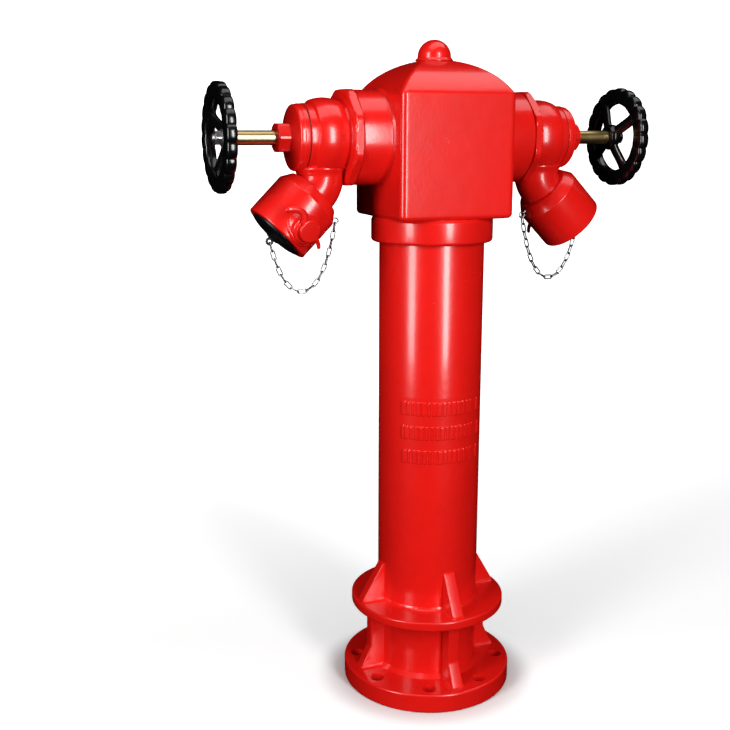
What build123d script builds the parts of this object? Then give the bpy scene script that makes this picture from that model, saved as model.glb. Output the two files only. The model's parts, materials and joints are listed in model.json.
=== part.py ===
from build123d import *
import os
from math import asinh, cos, cosh, pi, radians, sin, sinh, sqrt

# Two-way pillar hydrant. Millimetres, +Z up, front of the hydrant towards -Y.
# Origin: centre of the underside of the base flange.
# Everything named "right" stands on +X. The left valve is the same casting turned half
# round the pillar axis, so each valve part is drawn once, on the right, and written twice.

# ---- driving dimensions -------------------------------------------------------------------
FIT = 0.2                    # gap between a pipe and the plate that is welded round it
RUN = 0.3                    # gap between parts that move on each other

# base flange, DN150 PN16
FLANGE_DIA = 285.0
FLANGE_THICK = 32.0
BOLT_CIRCLE = 240.0
BOLT_COUNT = 8
BOLT_HOLE_DIA = 23.0
FIRST_HOLE_DEG = 22.5
FLANGE_EDGE_R = 3.0

# standpipe
PIPE_R = 84.15
PIPE_WALL = 8.0
PIPE_TOP = 782.0
PIPE_BORE_R = PIPE_R - PIPE_WALL
WELD = 7.0                   # leg of the fillet welds round the pipe

# ground flange and the gussets above and below it
GROUND_R = 129.5
GROUND_TOP = 153.0
GROUND_THICK = 15.0
GROUND_BOTTOM = GROUND_TOP - GROUND_THICK
GROUND_EDGE_R = 2.5
GUSSET_THICK = 20.0
UPPER_GUSSET_R = 122.0
UPPER_GUSSET_TOP = 217.0
UPPER_GUSSET_TOE = 3.0       # height of the blunt toe
UPPER_GUSSET_HEAD = 2.0      # width of the blunt top
LOWER_GUSSET_FOOT_R = 126.0
LOWER_GUSSET_KINK_R = 108.0
LOWER_GUSSET_KINK_Z = 68.0
SNIPE = WELD + 2.0           # corner cut off a gusset to clear the weld ring
GUSSET_EDGE_R = 2.0
GUSSET_ROOT = PIPE_R - 4.0   # drawn inside the pipe, then trimmed to it

# head casing
HEAD_HALF = 95.0
HEAD_BOTTOM = 794.0
HEAD_TOP = 981.0
HEAD_EDGE_R = 9.0
HEAD_FOOT_R = 8.0
HEAD_INNER_EDGE_R = 6.0
ROOF_R = 111.6
WALL = 9.0
COLLAR_R = 97.2
COLLAR_BOTTOM = 756.0
COLLAR_SOCKET_TOP = 786.0
ROOF_AXIS_Z = HEAD_TOP - sqrt(ROOF_R**2 - HEAD_HALF**2)
ROOF_CROWN = ROOF_AXIS_Z + ROOF_R

# plug on the crown of the roof
PLUG_R = 26.0
PLUG_TOP = 1063.7
PLUG_SHANK_R = 14.0
PLUG_SHANK_REACH = 4.0       # how far the shank shows inside the roof
PLUG_SEAT_GAP = 1.0
PLUG_SEAT_Z = ROOF_CROWN - 3.0
PLUG_SEAL_THICK = 2.0

# valve line
AXIS_Z = 916.7
BOSS_R = 71.0
BOSS_END = 144.0
INLET_THREAD_R = 38.0
INLET_START = 116.0
OCTAGON_FLATS = 142.0
OCTAGON_END = 158.0
OCTAGON_CHAMFER = 5.0
WATER_R = 31.0
GLOBE_X = 184.5
GLOBE_R = 59.0
GLOBE_WALL = 8.0
MOUTH_X = 217.0
MOUTH_R = 40.3
BODY_MOUTH_OUTER_R = sqrt(GLOBE_R**2 - (MOUTH_X - GLOBE_X) ** 2)

# seat and disc
SEAT_X = 160.0
SEAT_THICK = 7.0
SEAT_R = 38.0
DISC_X = SEAT_X + SEAT_THICK + RUN
DISC_R = 36.5
FACING_THICK = 4.0
CARRIER_THICK = 11.0
CARRIER_NECK_R = 15.0
CARRIER_NECK = 9.0
DISC_STUD_R = 4.0
DISC_STUD = 9.0
DISC_NUT_FLATS = 13.0
DISC_NUT_THICK = 7.0
SWIVEL_R = 8.0               # end of the stem, turning inside the disc carrier
SWIVEL_FLOOR = 4.0           # metal left under the swivel's hole

# bonnet and gland
BONNET_R = 50.0
BONNET_GASKET = 1.4
BONNET_X = MOUTH_X + BONNET_GASKET
BONNET_END = 239.0
BONNET_SPIGOT_R = 40.0
BONNET_SPIGOT_START = 206.0
BONNET_EDGE_R = 9.0
BONNET_SPIGOT_WALL = 7.0
BONNET_CROWN = 3.0
PACKING_R = 16.0
PACKING_START = 227.0
PACKING_END = 233.0
GLAND_FLATS = 42.0
GLAND_END = 259.0
GLAND_CHAMFER = 3.0
GLAND_CHAMFER_IN = 4.0
TIGHT = 0.05                 # gap round a part that is driven or screwed home
PACKED = 0.08                # gap between the packing and the stem

# stem and handwheel
STEM_R = 11.0
HUB_START = 322.0
HUB_END = 338.0
HUB_R = 21.0
STEM_NOSE_R = 8.0
STEM_TIP_R = 6.0
STEM_TIP = 354.0
WASHER_R = 13.0
WASHER_THICK = 2.0
NUT_FLATS = 20.0
NUT_END = 350.0
RIM_START = 333.5
RIM_END = 352.0
RIM_INNER_R = 54.0
RIM_ROOT_R = 76.5
RIM_CREST_R = 80.5
LOBES = 20
LOBE_R = 9.5
SPOKES = 4
FIRST_SPOKE_DEG = -31.5      # from straight up, towards the front on the right valve
SPOKE_WIDTH = 16.0
SPOKE_THICK = 9.0
SPOKE_DISH = 3.0             # how far the spokes stand out of the rim's inner face

# outlet elbow and hose coupling; distances along the outlet run from the bend point
OUTLET_X = 188.0
BEND_Z = 846.4
OUTLET_DEG = 45.0
ELBOW_R = 35.5
ELBOW_BORE_R = 27.5
ELBOW_BEND_R = 38.0
ELBOW_TANGENT = ELBOW_BEND_R * (sqrt(2.0) - 1.0)
SPIGOT_R = 33.0
SPIGOT_END = 32.0
SHOULDER_START = 16.5
SHOULDER_R = 43.0
BARREL_START = 33.0
BARREL_R = 53.5
BARREL_END = 101.0
BARREL_LIP_R = 2.5
SOCKET_R = 33.2
COUPLING_WATER_R = 30.0
COUPLING_BORE_R = 44.5
COUPLING_BORE_START = 62.0
HOSE_SEAL_THICK = 6.0
HOSE_SEAL_BORE_R = 33.0

# catch on the side of the coupling; heights run outwards from the outlet axis
CATCH_AT = 73.0
CATCH_TILT_DEG = 13.8
CATCH_BOSS_R = 22.0
CATCH_BOSS_TOP = 60.5
CATCH_CHAMBER_R = 10.0
CATCH_CHAMBER_START = 47.0
CATCH_PIN_R = 5.0
CATCH_NOSE = 45.0
CATCH_COLLAR_R = 9.0
CATCH_COLLAR_START = 47.4
CATCH_COLLAR_THICK = 1.5
CATCH_COVER_R = 17.5
CATCH_COVER_SPIGOT = 2.0
CATCH_COVER_TOP = 62.5
CATCH_KNOB_R = 15.5
CATCH_KNOB_START = 63.0
CATCH_KNOB_TOP = 70.5
CATCH_WING_SPAN = 83.0
CATCH_WING_WIDTH = 11.0
CATCH_WING_THICK = 5.0
CATCH_WING_EDGE_R = 5.0
CATCH_KNOB_EDGE_R = 2.0
CATCH_PIN_SEAT = 4.0         # depth of the pin in the knob
CATCH_PAD_LONG = 50.0
CATCH_PAD_WIDE = 14.0
CATCH_PAD_TOP = 58.0
CATCH_PAD_AT = 90.0
CATCH_PAD_EDGE_R = 4.0
SPRING_WIRE_R = 0.5
SPRING_R = 7.5
SPRING_TURNS = 3.5
SPRING_GAP = 0.1

# blank cap
CAP_R = 44.1
CAP_WALL = 6.0
CAP_START = 69.0
CAP_FACE = 104.0
CAP_CROWN = 109.0
CAP_EDGE_R = 2.0
CAP_FACE_BEVEL = 6.0
CAP_CROWN_R = 14.0
EYE_AT = 116.0
EYE_R = 6.0
EYE_HOLE_R = 3.4
EYE_THICK = 3.4

# keep chain of the blank cap
WIRE_R = 1.1
LINK_CENTRE_LONG = 15.4
LINK_CENTRE_WIDE = 6.3
LINK_PITCH = 13.0
LINKS = 17                   # odd, so that both end links stand square to their eyes
ANCHOR_AT = 22.0
ANCHOR_RISE = 9.0            # eye centre above the shoulder of the coupling
ANCHOR_RING_R = 4.6
ANCHOR_WIRE_R = 1.4
ANCHOR_SHANK_R = 2.2
ANCHOR_SHANK_DEPTH = 5.0


# ---- helpers ------------------------------------------------------------------------------
def turned(points, axis):
    """A solid of revolution: (distance along the axis, radius) points turned round it."""
    along = axis.direction
    out = Vector(0, 0, 1) if abs(along.Z) < 0.5 else Vector(1, 0, 0)
    corners = [axis.position + along * a + out * r for a, r in points]
    return revolve(make_face(Polyline(*corners, close=True)), axis)


def valve_turned(points):
    """A solid of revolution about the valve line, which runs along X."""
    return turned(points, Axis((0, 0, AXIS_Z), (1, 0, 0)))


def upright_turned(points):
    """A solid of revolution about the pillar axis."""
    return turned(points, Axis.Z)


def valve_rod(start, end, radius, bore=0.0):
    """A rod or a ring on the valve line."""
    return valve_turned([(start, bore), (end, bore), (end, radius), (start, radius)])


def valve_prism(start, end, flats, sides):
    """A hexagon or octagon on the valve line with a flat on top, made to its flats."""
    corner_r = flats / 2 / cos(pi / sides)
    turn = 180.0 / sides
    face = Plane((start, 0, AXIS_Z), x_dir=(0, 1, 0), z_dir=(1, 0, 0))
    return extrude(face * RegularPolygon(corner_r, sides, rotation=turn), end - start)


def outlet_plane():
    """The outlet's own frame: Z out of the mouth, X level and square to it."""
    slope = radians(OUTLET_DEG)
    return Plane((OUTLET_X, 0, BEND_Z), x_dir=(0, 1, 0), z_dir=(cos(slope), 0, -sin(slope)))


def catch_plane():
    """The catch's frame inside the outlet's: Z out of the barrel, X towards the mouth."""
    tilt = radians(CATCH_TILT_DEG)
    return Plane((0, 0, CATCH_AT), x_dir=(0, 0, 1), z_dir=(cos(tilt), -sin(tilt), 0))


def on_outlet(shape):
    return outlet_plane().location * shape


def on_catch(shape):
    return outlet_plane().location * catch_plane().location * shape


def disc(start, end, radius, bore=0.0):
    """A disc or a ring on the local Z axis."""
    return upright_turned([(start, bore), (end, bore), (end, radius), (start, radius)])


def four_round(shape):
    """The same plate at the front, back, left and right of the pipe."""
    return Compound(children=[shape.rotate(Axis.Z, 90.0 * i) for i in range(4)])


def write(name, shape):
    export_step(shape, f"parts/{name}.step")


def write_pair(name, shape):
    """Write the right-hand part, and the same part turned to the left valve."""
    write(f"right_{name}", shape)
    write(f"left_{name}", shape.rotate(Axis.Z, 180.0))


# ---- pillar -------------------------------------------------------------------------------
def make_pipe():
    return disc(0.0, PIPE_TOP, PIPE_R, PIPE_BORE_R)


def weld_ring(z, up):
    """Fillet weld round the pipe on a plate face at height z."""
    inner = PIPE_R + FIT
    tip = z + WELD * up
    return upright_turned([(z, inner), (z, inner + WELD), (tip, inner)])


def make_base_flange():
    plate = disc(0.0, FLANGE_THICK, FLANGE_DIA / 2, PIPE_R + FIT)
    rims = plate.edges().filter_by(GeomType.CIRCLE).group_by(SortBy.RADIUS)[-1]
    plate = fillet(rims, FLANGE_EDGE_R)
    holes = PolarLocations(BOLT_CIRCLE / 2, BOLT_COUNT, FIRST_HOLE_DEG)
    plate -= holes * Cylinder(BOLT_HOLE_DIA / 2, 4 * FLANGE_THICK)
    return plate + weld_ring(FLANGE_THICK, 1)


def make_ground_flange():
    plate = disc(GROUND_BOTTOM, GROUND_TOP, GROUND_R, PIPE_R + FIT)
    rims = plate.edges().filter_by(GeomType.CIRCLE).group_by(SortBy.RADIUS)[-1]
    plate = fillet(rims, GROUND_EDGE_R)
    return plate + weld_ring(GROUND_TOP, 1) + weld_ring(GROUND_BOTTOM, -1)


def gusset(outline):
    """A gusset plate on +X from its outline (radius, height), trimmed to the pipe."""
    face = make_face(Polyline(*[(r, 0, z) for r, z in outline], close=True))
    plate = extrude(face, GUSSET_THICK / 2, dir=(0, 1, 0), both=True)
    plate = fillet(plate.edges().filter_by(Axis.Y).sort_by(Axis.X)[-2:], GUSSET_EDGE_R)
    return plate - Cylinder(PIPE_R + FIT, 4 * UPPER_GUSSET_TOP)


def make_upper_gussets():
    outline = [
        (GUSSET_ROOT, GROUND_TOP + SNIPE),
        (PIPE_R + FIT, GROUND_TOP + SNIPE),
        (PIPE_R + FIT + SNIPE, GROUND_TOP),
        (UPPER_GUSSET_R, GROUND_TOP),
        (UPPER_GUSSET_R, GROUND_TOP + UPPER_GUSSET_TOE),
        (PIPE_R + UPPER_GUSSET_HEAD, UPPER_GUSSET_TOP),
        (GUSSET_ROOT, UPPER_GUSSET_TOP),
    ]
    return four_round(gusset(outline))


def make_lower_gussets():
    outline = [
        (GUSSET_ROOT, FLANGE_THICK + SNIPE),
        (PIPE_R + FIT, FLANGE_THICK + SNIPE),
        (PIPE_R + FIT + SNIPE, FLANGE_THICK),
        (LOWER_GUSSET_FOOT_R, FLANGE_THICK),
        (LOWER_GUSSET_KINK_R, LOWER_GUSSET_KINK_Z),
        (LOWER_GUSSET_KINK_R, GROUND_BOTTOM),
        (PIPE_R + FIT + SNIPE, GROUND_BOTTOM),
        (PIPE_R + FIT, GROUND_BOTTOM - SNIPE),
        (GUSSET_ROOT, GROUND_BOTTOM - SNIPE),
    ]
    return four_round(gusset(outline))


# ---- head ---------------------------------------------------------------------------------
def roof_block(half, crown_r, bottom, edge_r):
    """A square block under a four-sided vaulted roof whose faces meet at four hips."""
    height = ROOF_AXIS_Z + crown_r - bottom
    block = Pos(0, 0, bottom) * Box(
        2 * half, 2 * half, height, align=(Align.CENTER, Align.CENTER, Align.MIN)
    )
    block = fillet(block.edges().filter_by(Axis.Z), edge_r)
    for turn in (Rot(0, 90, 0), Rot(90, 0, 0)):
        vault = Pos(0, 0, ROOF_AXIS_Z) * turn * Cylinder(crown_r, 4 * half)
        skirt = Pos(0, 0, bottom) * Box(
            4 * half, 4 * half, ROOF_AXIS_Z - bottom,
            align=(Align.CENTER, Align.CENTER, Align.MIN),
        )
        block = block & (vault + skirt)
    return block


def make_head():
    outer = roof_block(HEAD_HALF, ROOF_R, HEAD_BOTTOM, HEAD_EDGE_R)
    bottom_edges = outer.edges().group_by(Axis.Z)[0]
    outer = fillet(bottom_edges, HEAD_FOOT_R)
    collar = disc(COLLAR_BOTTOM, HEAD_BOTTOM + WALL, COLLAR_R)
    head = outer + collar
    boss = valve_rod(-BOSS_END, BOSS_END, BOSS_R)
    head = head + boss
    head -= roof_block(HEAD_HALF - WALL, ROOF_R - WALL, HEAD_BOTTOM + WALL, HEAD_INNER_EDGE_R)
    head -= disc(COLLAR_BOTTOM - 1.0, COLLAR_SOCKET_TOP, PIPE_R + FIT)
    head -= disc(COLLAR_BOTTOM, HEAD_BOTTOM + WALL, PIPE_BORE_R)
    head -= valve_rod(-BOSS_END, BOSS_END, INLET_THREAD_R + FIT)
    head -= disc(PLUG_SEAT_Z, PLUG_TOP, PLUG_R + PLUG_SEAT_GAP)
    return head - disc(AXIS_Z, PLUG_TOP, PLUG_SHANK_R + FIT)


def make_head_seal():
    return disc(PIPE_TOP + 0.1, COLLAR_SOCKET_TOP - 0.1, PIPE_R - 0.5, PIPE_BORE_R + 0.5)


def make_crown_plug():
    """A half ball on a short cylinder, on a shank that is screwed into the roof."""
    base = PLUG_SEAT_Z + PLUG_SEAL_THICK
    shank_end = PLUG_SEAT_Z - WALL - PLUG_SHANK_REACH
    dome_z = PLUG_TOP - PLUG_R
    plug = disc(base, dome_z, PLUG_R) + Pos(0, 0, dome_z) * Sphere(PLUG_R)
    plug &= disc(base, PLUG_TOP + 1.0, 2 * PLUG_R)
    return plug + disc(shank_end, base, PLUG_SHANK_R)


def make_crown_seal():
    return disc(PLUG_SEAT_Z, PLUG_SEAT_Z + PLUG_SEAL_THICK, PLUG_R - 1.5, PLUG_SHANK_R + FIT)


# ---- valve body ---------------------------------------------------------------------------
def elbow(radius):
    """The 45 degree bend, as a round section turned about the centre of the bend."""
    top_z = BEND_Z + ELBOW_TANGENT
    section = Plane((OUTLET_X, 0, top_z), x_dir=(1, 0, 0), z_dir=(0, 0, -1)) * Circle(radius)
    centre = Axis((OUTLET_X + ELBOW_BEND_R, 0, top_z), (0, -1, 0))
    return revolve(section, centre, OUTLET_DEG)


def drop(radius):
    """The upright stretch from the valve line down to the start of the bend."""
    return Pos(OUTLET_X, 0, BEND_Z + ELBOW_TANGENT) * Cylinder(
        radius, AXIS_Z - BEND_Z - ELBOW_TANGENT, align=(Align.CENTER, Align.CENTER, Align.MIN)
    )


def make_valve_body():
    octagon = valve_prism(BOSS_END, OCTAGON_END, OCTAGON_FLATS, 8)
    cone_r = OCTAGON_FLATS / 2 / cos(pi / 8)
    octagon &= valve_turned([
        (BOSS_END, 0.0), (OCTAGON_END, 0.0), (OCTAGON_END, cone_r - OCTAGON_CHAMFER),
        (OCTAGON_END - OCTAGON_CHAMFER, cone_r), (BOSS_END, cone_r),
    ])
    globe = Pos(GLOBE_X, 0, AXIS_Z) * Sphere(GLOBE_R)
    globe &= valve_rod(OCTAGON_END - 1.0, MOUTH_X, 2 * GLOBE_R)
    body = octagon + globe + drop(ELBOW_R) + elbow(ELBOW_R)
    body += valve_rod(INLET_START, BOSS_END, INLET_THREAD_R)
    body += on_outlet(disc(ELBOW_TANGENT, SPIGOT_END, SPIGOT_R))
    chamber = Pos(GLOBE_X, 0, AXIS_Z) * Sphere(GLOBE_R - GLOBE_WALL)
    chamber &= valve_rod(SEAT_X + 1.0, MOUTH_X, 2 * GLOBE_R)
    body -= chamber
    body -= valve_rod(INLET_START, SEAT_X + 1.0, WATER_R)
    body -= valve_rod(SEAT_X, SEAT_X + SEAT_THICK, SEAT_R + 0.1)
    body -= valve_rod(GLOBE_X, MOUTH_X, MOUTH_R)
    lower = drop(ELBOW_BORE_R) & Pos(0, 0, AXIS_Z - GLOBE_R) * Box(1000, 1000, GLOBE_R)
    body -= lower
    body -= elbow(ELBOW_BORE_R)
    body -= valve_rod(MOUTH_X, BONNET_END, BONNET_R + RUN)
    return body - on_outlet(disc(ELBOW_TANGENT, SPIGOT_END, ELBOW_BORE_R))


def make_seat_ring():
    return valve_rod(SEAT_X, SEAT_X + SEAT_THICK, SEAT_R, WATER_R)


def make_disc_facing():
    return valve_rod(DISC_X, DISC_X + FACING_THICK, DISC_R - 1.0, DISC_STUD_R + FIT)


def make_disc_carrier():
    face = DISC_X + FACING_THICK
    back = face + CARRIER_THICK
    end = back + CARRIER_NECK
    carrier = valve_turned([
        (face, 0.0), (end, 0.0), (end, CARRIER_NECK_R), (back, CARRIER_NECK_R),
        (back, DISC_R), (face, DISC_R),
    ])
    carrier += valve_rod(DISC_X - DISC_STUD, face, DISC_STUD_R)
    return carrier - valve_rod(face + SWIVEL_FLOOR, end, SWIVEL_R + RUN)


def make_disc_nut():
    start = DISC_X - DISC_NUT_THICK
    nut = valve_prism(start, DISC_X, DISC_NUT_FLATS, 6)
    return nut - valve_rod(start, DISC_X, DISC_STUD_R + TIGHT)


# ---- bonnet, gland, stem ------------------------------------------------------------------
def make_bonnet_gasket():
    return valve_rod(MOUTH_X, BONNET_X, BODY_MOUTH_OUTER_R - 1.0, MOUTH_R + 0.2)


def make_bonnet():
    bonnet = valve_rod(BONNET_X, BONNET_END, BONNET_R)
    face = bonnet.edges().filter_by(GeomType.CIRCLE).group_by(Axis.X)[-1]
    bonnet = fillet(face, BONNET_EDGE_R)
    bonnet += valve_rod(BONNET_SPIGOT_START, BONNET_X, BONNET_SPIGOT_R)
    inside = BONNET_SPIGOT_R - BONNET_SPIGOT_WALL
    bonnet -= valve_rod(BONNET_SPIGOT_START, BONNET_X - BONNET_CROWN, inside)
    bonnet -= valve_rod(BONNET_SPIGOT_START, BONNET_END, STEM_R + RUN)
    return bonnet - valve_rod(PACKING_START, BONNET_END, PACKING_R + FIT)


def make_gland_packing():
    return valve_rod(PACKING_START, PACKING_END, PACKING_R, STEM_R + PACKED)


def make_gland_nut():
    nut = valve_prism(BONNET_END, GLAND_END, GLAND_FLATS, 6)
    corner_r = GLAND_FLATS / 2 / cos(pi / 6)
    nut &= valve_turned([
        (BONNET_END, 0.0), (GLAND_END, 0.0), (GLAND_END, corner_r - GLAND_CHAMFER_IN),
        (GLAND_END - GLAND_CHAMFER, corner_r), (BONNET_END, corner_r),
    ])
    nut += valve_rod(PACKING_END, BONNET_END, PACKING_R)
    return nut - valve_rod(PACKING_END, GLAND_END, STEM_R + RUN)


def make_stem():
    start = DISC_X + FACING_THICK + SWIVEL_FLOOR + RUN
    neck = DISC_X + FACING_THICK + CARRIER_THICK + CARRIER_NECK + 3 * RUN
    return valve_turned([
        (start, 0.0), (STEM_TIP, 0.0), (STEM_TIP, STEM_TIP_R), (HUB_END, STEM_TIP_R),
        (HUB_END, STEM_NOSE_R), (HUB_START, STEM_NOSE_R), (HUB_START, STEM_R),
        (neck, STEM_R), (neck, SWIVEL_R), (start, SWIVEL_R),
    ])


def make_handwheel():
    face = Plane((RIM_START, 0, AXIS_Z), x_dir=(0, 0, 1), z_dir=(1, 0, 0))
    lobes = PolarLocations(RIM_CREST_R - LOBE_R, LOBES, FIRST_SPOKE_DEG) * Circle(LOBE_R)
    outline = Circle(RIM_ROOT_R) + lobes
    rim = extrude(face * (outline - Circle(RIM_INNER_R)), RIM_END - RIM_START)
    wheel = rim + valve_rod(HUB_START, HUB_END, HUB_R)
    spoke_x = RIM_START + SPOKE_THICK / 2 - SPOKE_DISH
    spoke_mid = RIM_INNER_R / 2 + 3.0
    for i in range(SPOKES):
        turn = FIRST_SPOKE_DEG + 360.0 / SPOKES * i
        bar = Pos(0, 0, spoke_mid) * Box(SPOKE_THICK, SPOKE_WIDTH, RIM_INNER_R)
        wheel += Pos(spoke_x, 0, AXIS_Z) * Rot(turn, 0, 0) * bar
    wheel = wheel - valve_rod(HUB_END, STEM_TIP, HUB_R - 1.0)
    return wheel - valve_rod(HUB_START - 9.0, HUB_END, STEM_NOSE_R + TIGHT)


def make_wheel_washer():
    return valve_rod(HUB_END, HUB_END + WASHER_THICK, WASHER_R, STEM_TIP_R + FIT)


def make_wheel_nut():
    start = HUB_END + WASHER_THICK
    nut = valve_prism(start, NUT_END, NUT_FLATS, 6)
    return nut - valve_rod(start, NUT_END, STEM_TIP_R + TIGHT)


# ---- hose coupling ------------------------------------------------------------------------
def make_coupling():
    outer = upright_turned([
        (SHOULDER_START, 0.0), (BARREL_END, 0.0), (BARREL_END, BARREL_R),
        (BARREL_START, BARREL_R), (SHOULDER_START, SHOULDER_R),
    ])
    lip = outer.edges().filter_by(GeomType.CIRCLE).group_by(Axis.Z)[-1]
    outer = fillet(lip, BARREL_LIP_R)
    boss = catch_plane().location * disc(CATCH_NOSE, CATCH_BOSS_TOP, CATCH_BOSS_R)
    pad_length = CATCH_PAD_AT - CATCH_AT
    pad = Pos(pad_length, 0, (CATCH_NOSE + CATCH_PAD_TOP) / 2) * Box(
        CATCH_PAD_WIDE, CATCH_PAD_LONG, CATCH_PAD_TOP - CATCH_NOSE
    )
    pad = fillet(pad.edges().filter_by(Axis.Z), CATCH_PAD_EDGE_R)
    coupling = outer + boss + catch_plane().location * pad
    coupling -= disc(SHOULDER_START, SPIGOT_END + 0.2, SOCKET_R)
    coupling -= disc(SHOULDER_START, COUPLING_BORE_START, COUPLING_WATER_R)
    coupling -= disc(COUPLING_BORE_START, BARREL_END, COUPLING_BORE_R)
    pin_hole = disc(COUPLING_WATER_R, CATCH_BOSS_TOP, CATCH_PIN_R + RUN)
    chamber = disc(CATCH_CHAMBER_START, CATCH_BOSS_TOP, CATCH_CHAMBER_R)
    coupling -= catch_plane().location * pin_hole
    coupling -= catch_plane().location * chamber
    shank = Rot(90, 0, 0) * Cylinder(ANCHOR_SHANK_R + TIGHT, 2 * anchor_height())
    shank &= Pos(0, -anchor_height(), 0) * Box(20, 2 * (ANCHOR_RISE + ANCHOR_SHANK_DEPTH), 20)
    return on_outlet(coupling - Pos(0, 0, ANCHOR_AT) * shank)


def make_coupling_seal():
    start = COUPLING_BORE_START
    return on_outlet(disc(start, start + HOSE_SEAL_THICK, COUPLING_BORE_R - 0.2, HOSE_SEAL_BORE_R))


def make_catch_pin():
    collar = disc(CATCH_COLLAR_START, CATCH_COLLAR_START + CATCH_COLLAR_THICK, CATCH_COLLAR_R)
    return on_catch(disc(CATCH_NOSE, CATCH_KNOB_START + CATCH_PIN_SEAT, CATCH_PIN_R) + collar)


def make_catch_spring():
    start = CATCH_COLLAR_START + CATCH_COLLAR_THICK + SPRING_WIRE_R + SPRING_GAP
    end = CATCH_BOSS_TOP - CATCH_COVER_SPIGOT - SPRING_WIRE_R - SPRING_GAP
    path = Helix((end - start) / SPRING_TURNS, end - start, SPRING_R)
    section = Plane(path @ 0, z_dir=path % 0) * Circle(SPRING_WIRE_R)
    return on_catch(Pos(0, 0, start) * sweep(section, path))


def make_catch_cover():
    cover = disc(CATCH_BOSS_TOP, CATCH_COVER_TOP, CATCH_COVER_R)
    cover += disc(CATCH_BOSS_TOP - CATCH_COVER_SPIGOT, CATCH_BOSS_TOP, CATCH_CHAMBER_R - FIT)
    return on_catch(cover - disc(CATCH_CHAMBER_START, CATCH_COVER_TOP, CATCH_PIN_R + RUN))


def make_catch_knob():
    knob = disc(CATCH_KNOB_START, CATCH_KNOB_TOP, CATCH_KNOB_R)
    rim = knob.edges().filter_by(GeomType.CIRCLE).group_by(Axis.Z)[-1]
    knob = fillet(rim, CATCH_KNOB_EDGE_R)
    wing_z = CATCH_KNOB_START + CATCH_WING_THICK / 2
    wings = Pos(0, 0, wing_z) * Box(CATCH_WING_WIDTH, CATCH_WING_SPAN, CATCH_WING_THICK)
    wings = fillet(wings.edges().filter_by(Axis.Z), CATCH_WING_EDGE_R)
    knob = knob + wings
    seat = disc(CATCH_KNOB_START, CATCH_KNOB_START + CATCH_PIN_SEAT, CATCH_PIN_R + TIGHT)
    return on_catch(knob - seat)


# ---- blank cap and chain ------------------------------------------------------------------
def make_blank_cap():
    inside = BARREL_END
    cap = upright_turned([
        (CAP_START, CAP_R - CAP_WALL), (inside, CAP_R - CAP_WALL), (inside, 0.0),
        (CAP_CROWN, 0.0), (CAP_CROWN, CAP_CROWN_R), (CAP_FACE, CAP_R - CAP_FACE_BEVEL),
        (CAP_FACE, CAP_R),
        (CAP_START, CAP_R),
    ])
    rim = cap.edges().filter_by(GeomType.CIRCLE).group_by(SortBy.RADIUS)[-1].sort_by(Axis.Z)[-1:]
    cap = fillet(rim, CAP_EDGE_R)
    plate = Plane.XZ * Circle(EYE_R)
    web = Pos(0, 0, (EYE_AT + CAP_CROWN) / 2 - 1.0) * Box(
        2 * EYE_R, EYE_THICK, EYE_AT - CAP_CROWN + 2.0
    )
    eye = Pos(0, 0, EYE_AT) * extrude(plate, EYE_THICK / 2, both=True)
    hole = Pos(0, 0, EYE_AT) * Rot(90, 0, 0) * Cylinder(EYE_HOLE_R, 4 * EYE_THICK)
    quarter = Rot(0, 0, 90)
    return on_outlet(cap + quarter * (eye + web - hole))


def anchor_height():
    """Distance of the anchor's eye from the outlet axis."""
    slope = (BARREL_R - SHOULDER_R) / (BARREL_START - SHOULDER_START)
    return SHOULDER_R + slope * (ANCHOR_AT - SHOULDER_START) + ANCHOR_RISE


def make_chain_anchor():
    """An eye bolt on the underside of the coupling's shoulder."""
    rise = anchor_height()
    foot = rise - ANCHOR_RISE - ANCHOR_SHANK_DEPTH
    ring = Torus(ANCHOR_RING_R, ANCHOR_WIRE_R)
    ring = Pos(0, -rise, ANCHOR_AT) * Rot(0, 90, 0) * ring
    length = rise - ANCHOR_RING_R - foot
    shank = Pos(0, -(foot + length / 2), ANCHOR_AT) * Rot(90, 0, 0) * Cylinder(
        ANCHOR_SHANK_R, length
    )
    return on_outlet(ring + shank)


def outlet_point(across, along):
    """A point given by its distances from the outlet axis and along it, in the XZ plane."""
    point = outlet_plane().from_local_coords((0, across, along))
    return point.X, point.Z


def hanging_curve():
    """The chain's catenary between cap eye and anchor: returns a function of run length."""
    x_cap, z_cap = outlet_point(0.0, EYE_AT)
    x_fix, z_fix = outlet_point(-anchor_height(), ANCHOR_AT)
    span = x_cap - x_fix
    rise = z_cap - z_fix
    length = (LINKS + 0.4) * LINK_PITCH
    goal = sqrt(length**2 - rise**2) / span
    low, high = 0.05, 20.0
    for _ in range(60):
        middle = (low + high) / 2
        if sinh(middle) / middle < goal:
            low = middle
        else:
            high = middle
    scale = span / 2 / low
    skew = asinh(rise / (2 * scale * sinh(low)))
    first = skew - low
    bottom = z_fix - scale * cosh(first)

    def at(run):
        """Point and tangent direction after a length of chain from the anchor."""
        t = asinh(run / scale + sinh(first))
        point = (x_fix + scale * (t - first), bottom + scale * cosh(t))
        return point, (1 / cosh(t), sinh(t) / cosh(t))

    return at, length


def chain_link():
    """One oval link in the XY plane, its length along X."""
    straight = (LINK_CENTRE_LONG - LINK_CENTRE_WIDE) / 2
    bend = LINK_CENTRE_WIDE / 2
    right_end = CenterArc((straight, 0), bend, -90, 180)
    left_end = CenterArc((-straight, 0), bend, 90, 180)
    top = Line((straight, bend), (-straight, bend))
    bottom = Line((-straight, -bend), (straight, -bend))
    path = Wire([right_end, top, left_end, bottom])
    section = Plane((0, bend, 0), z_dir=(-1, 0, 0)) * Circle(WIRE_R)
    return sweep(section, path)


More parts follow.
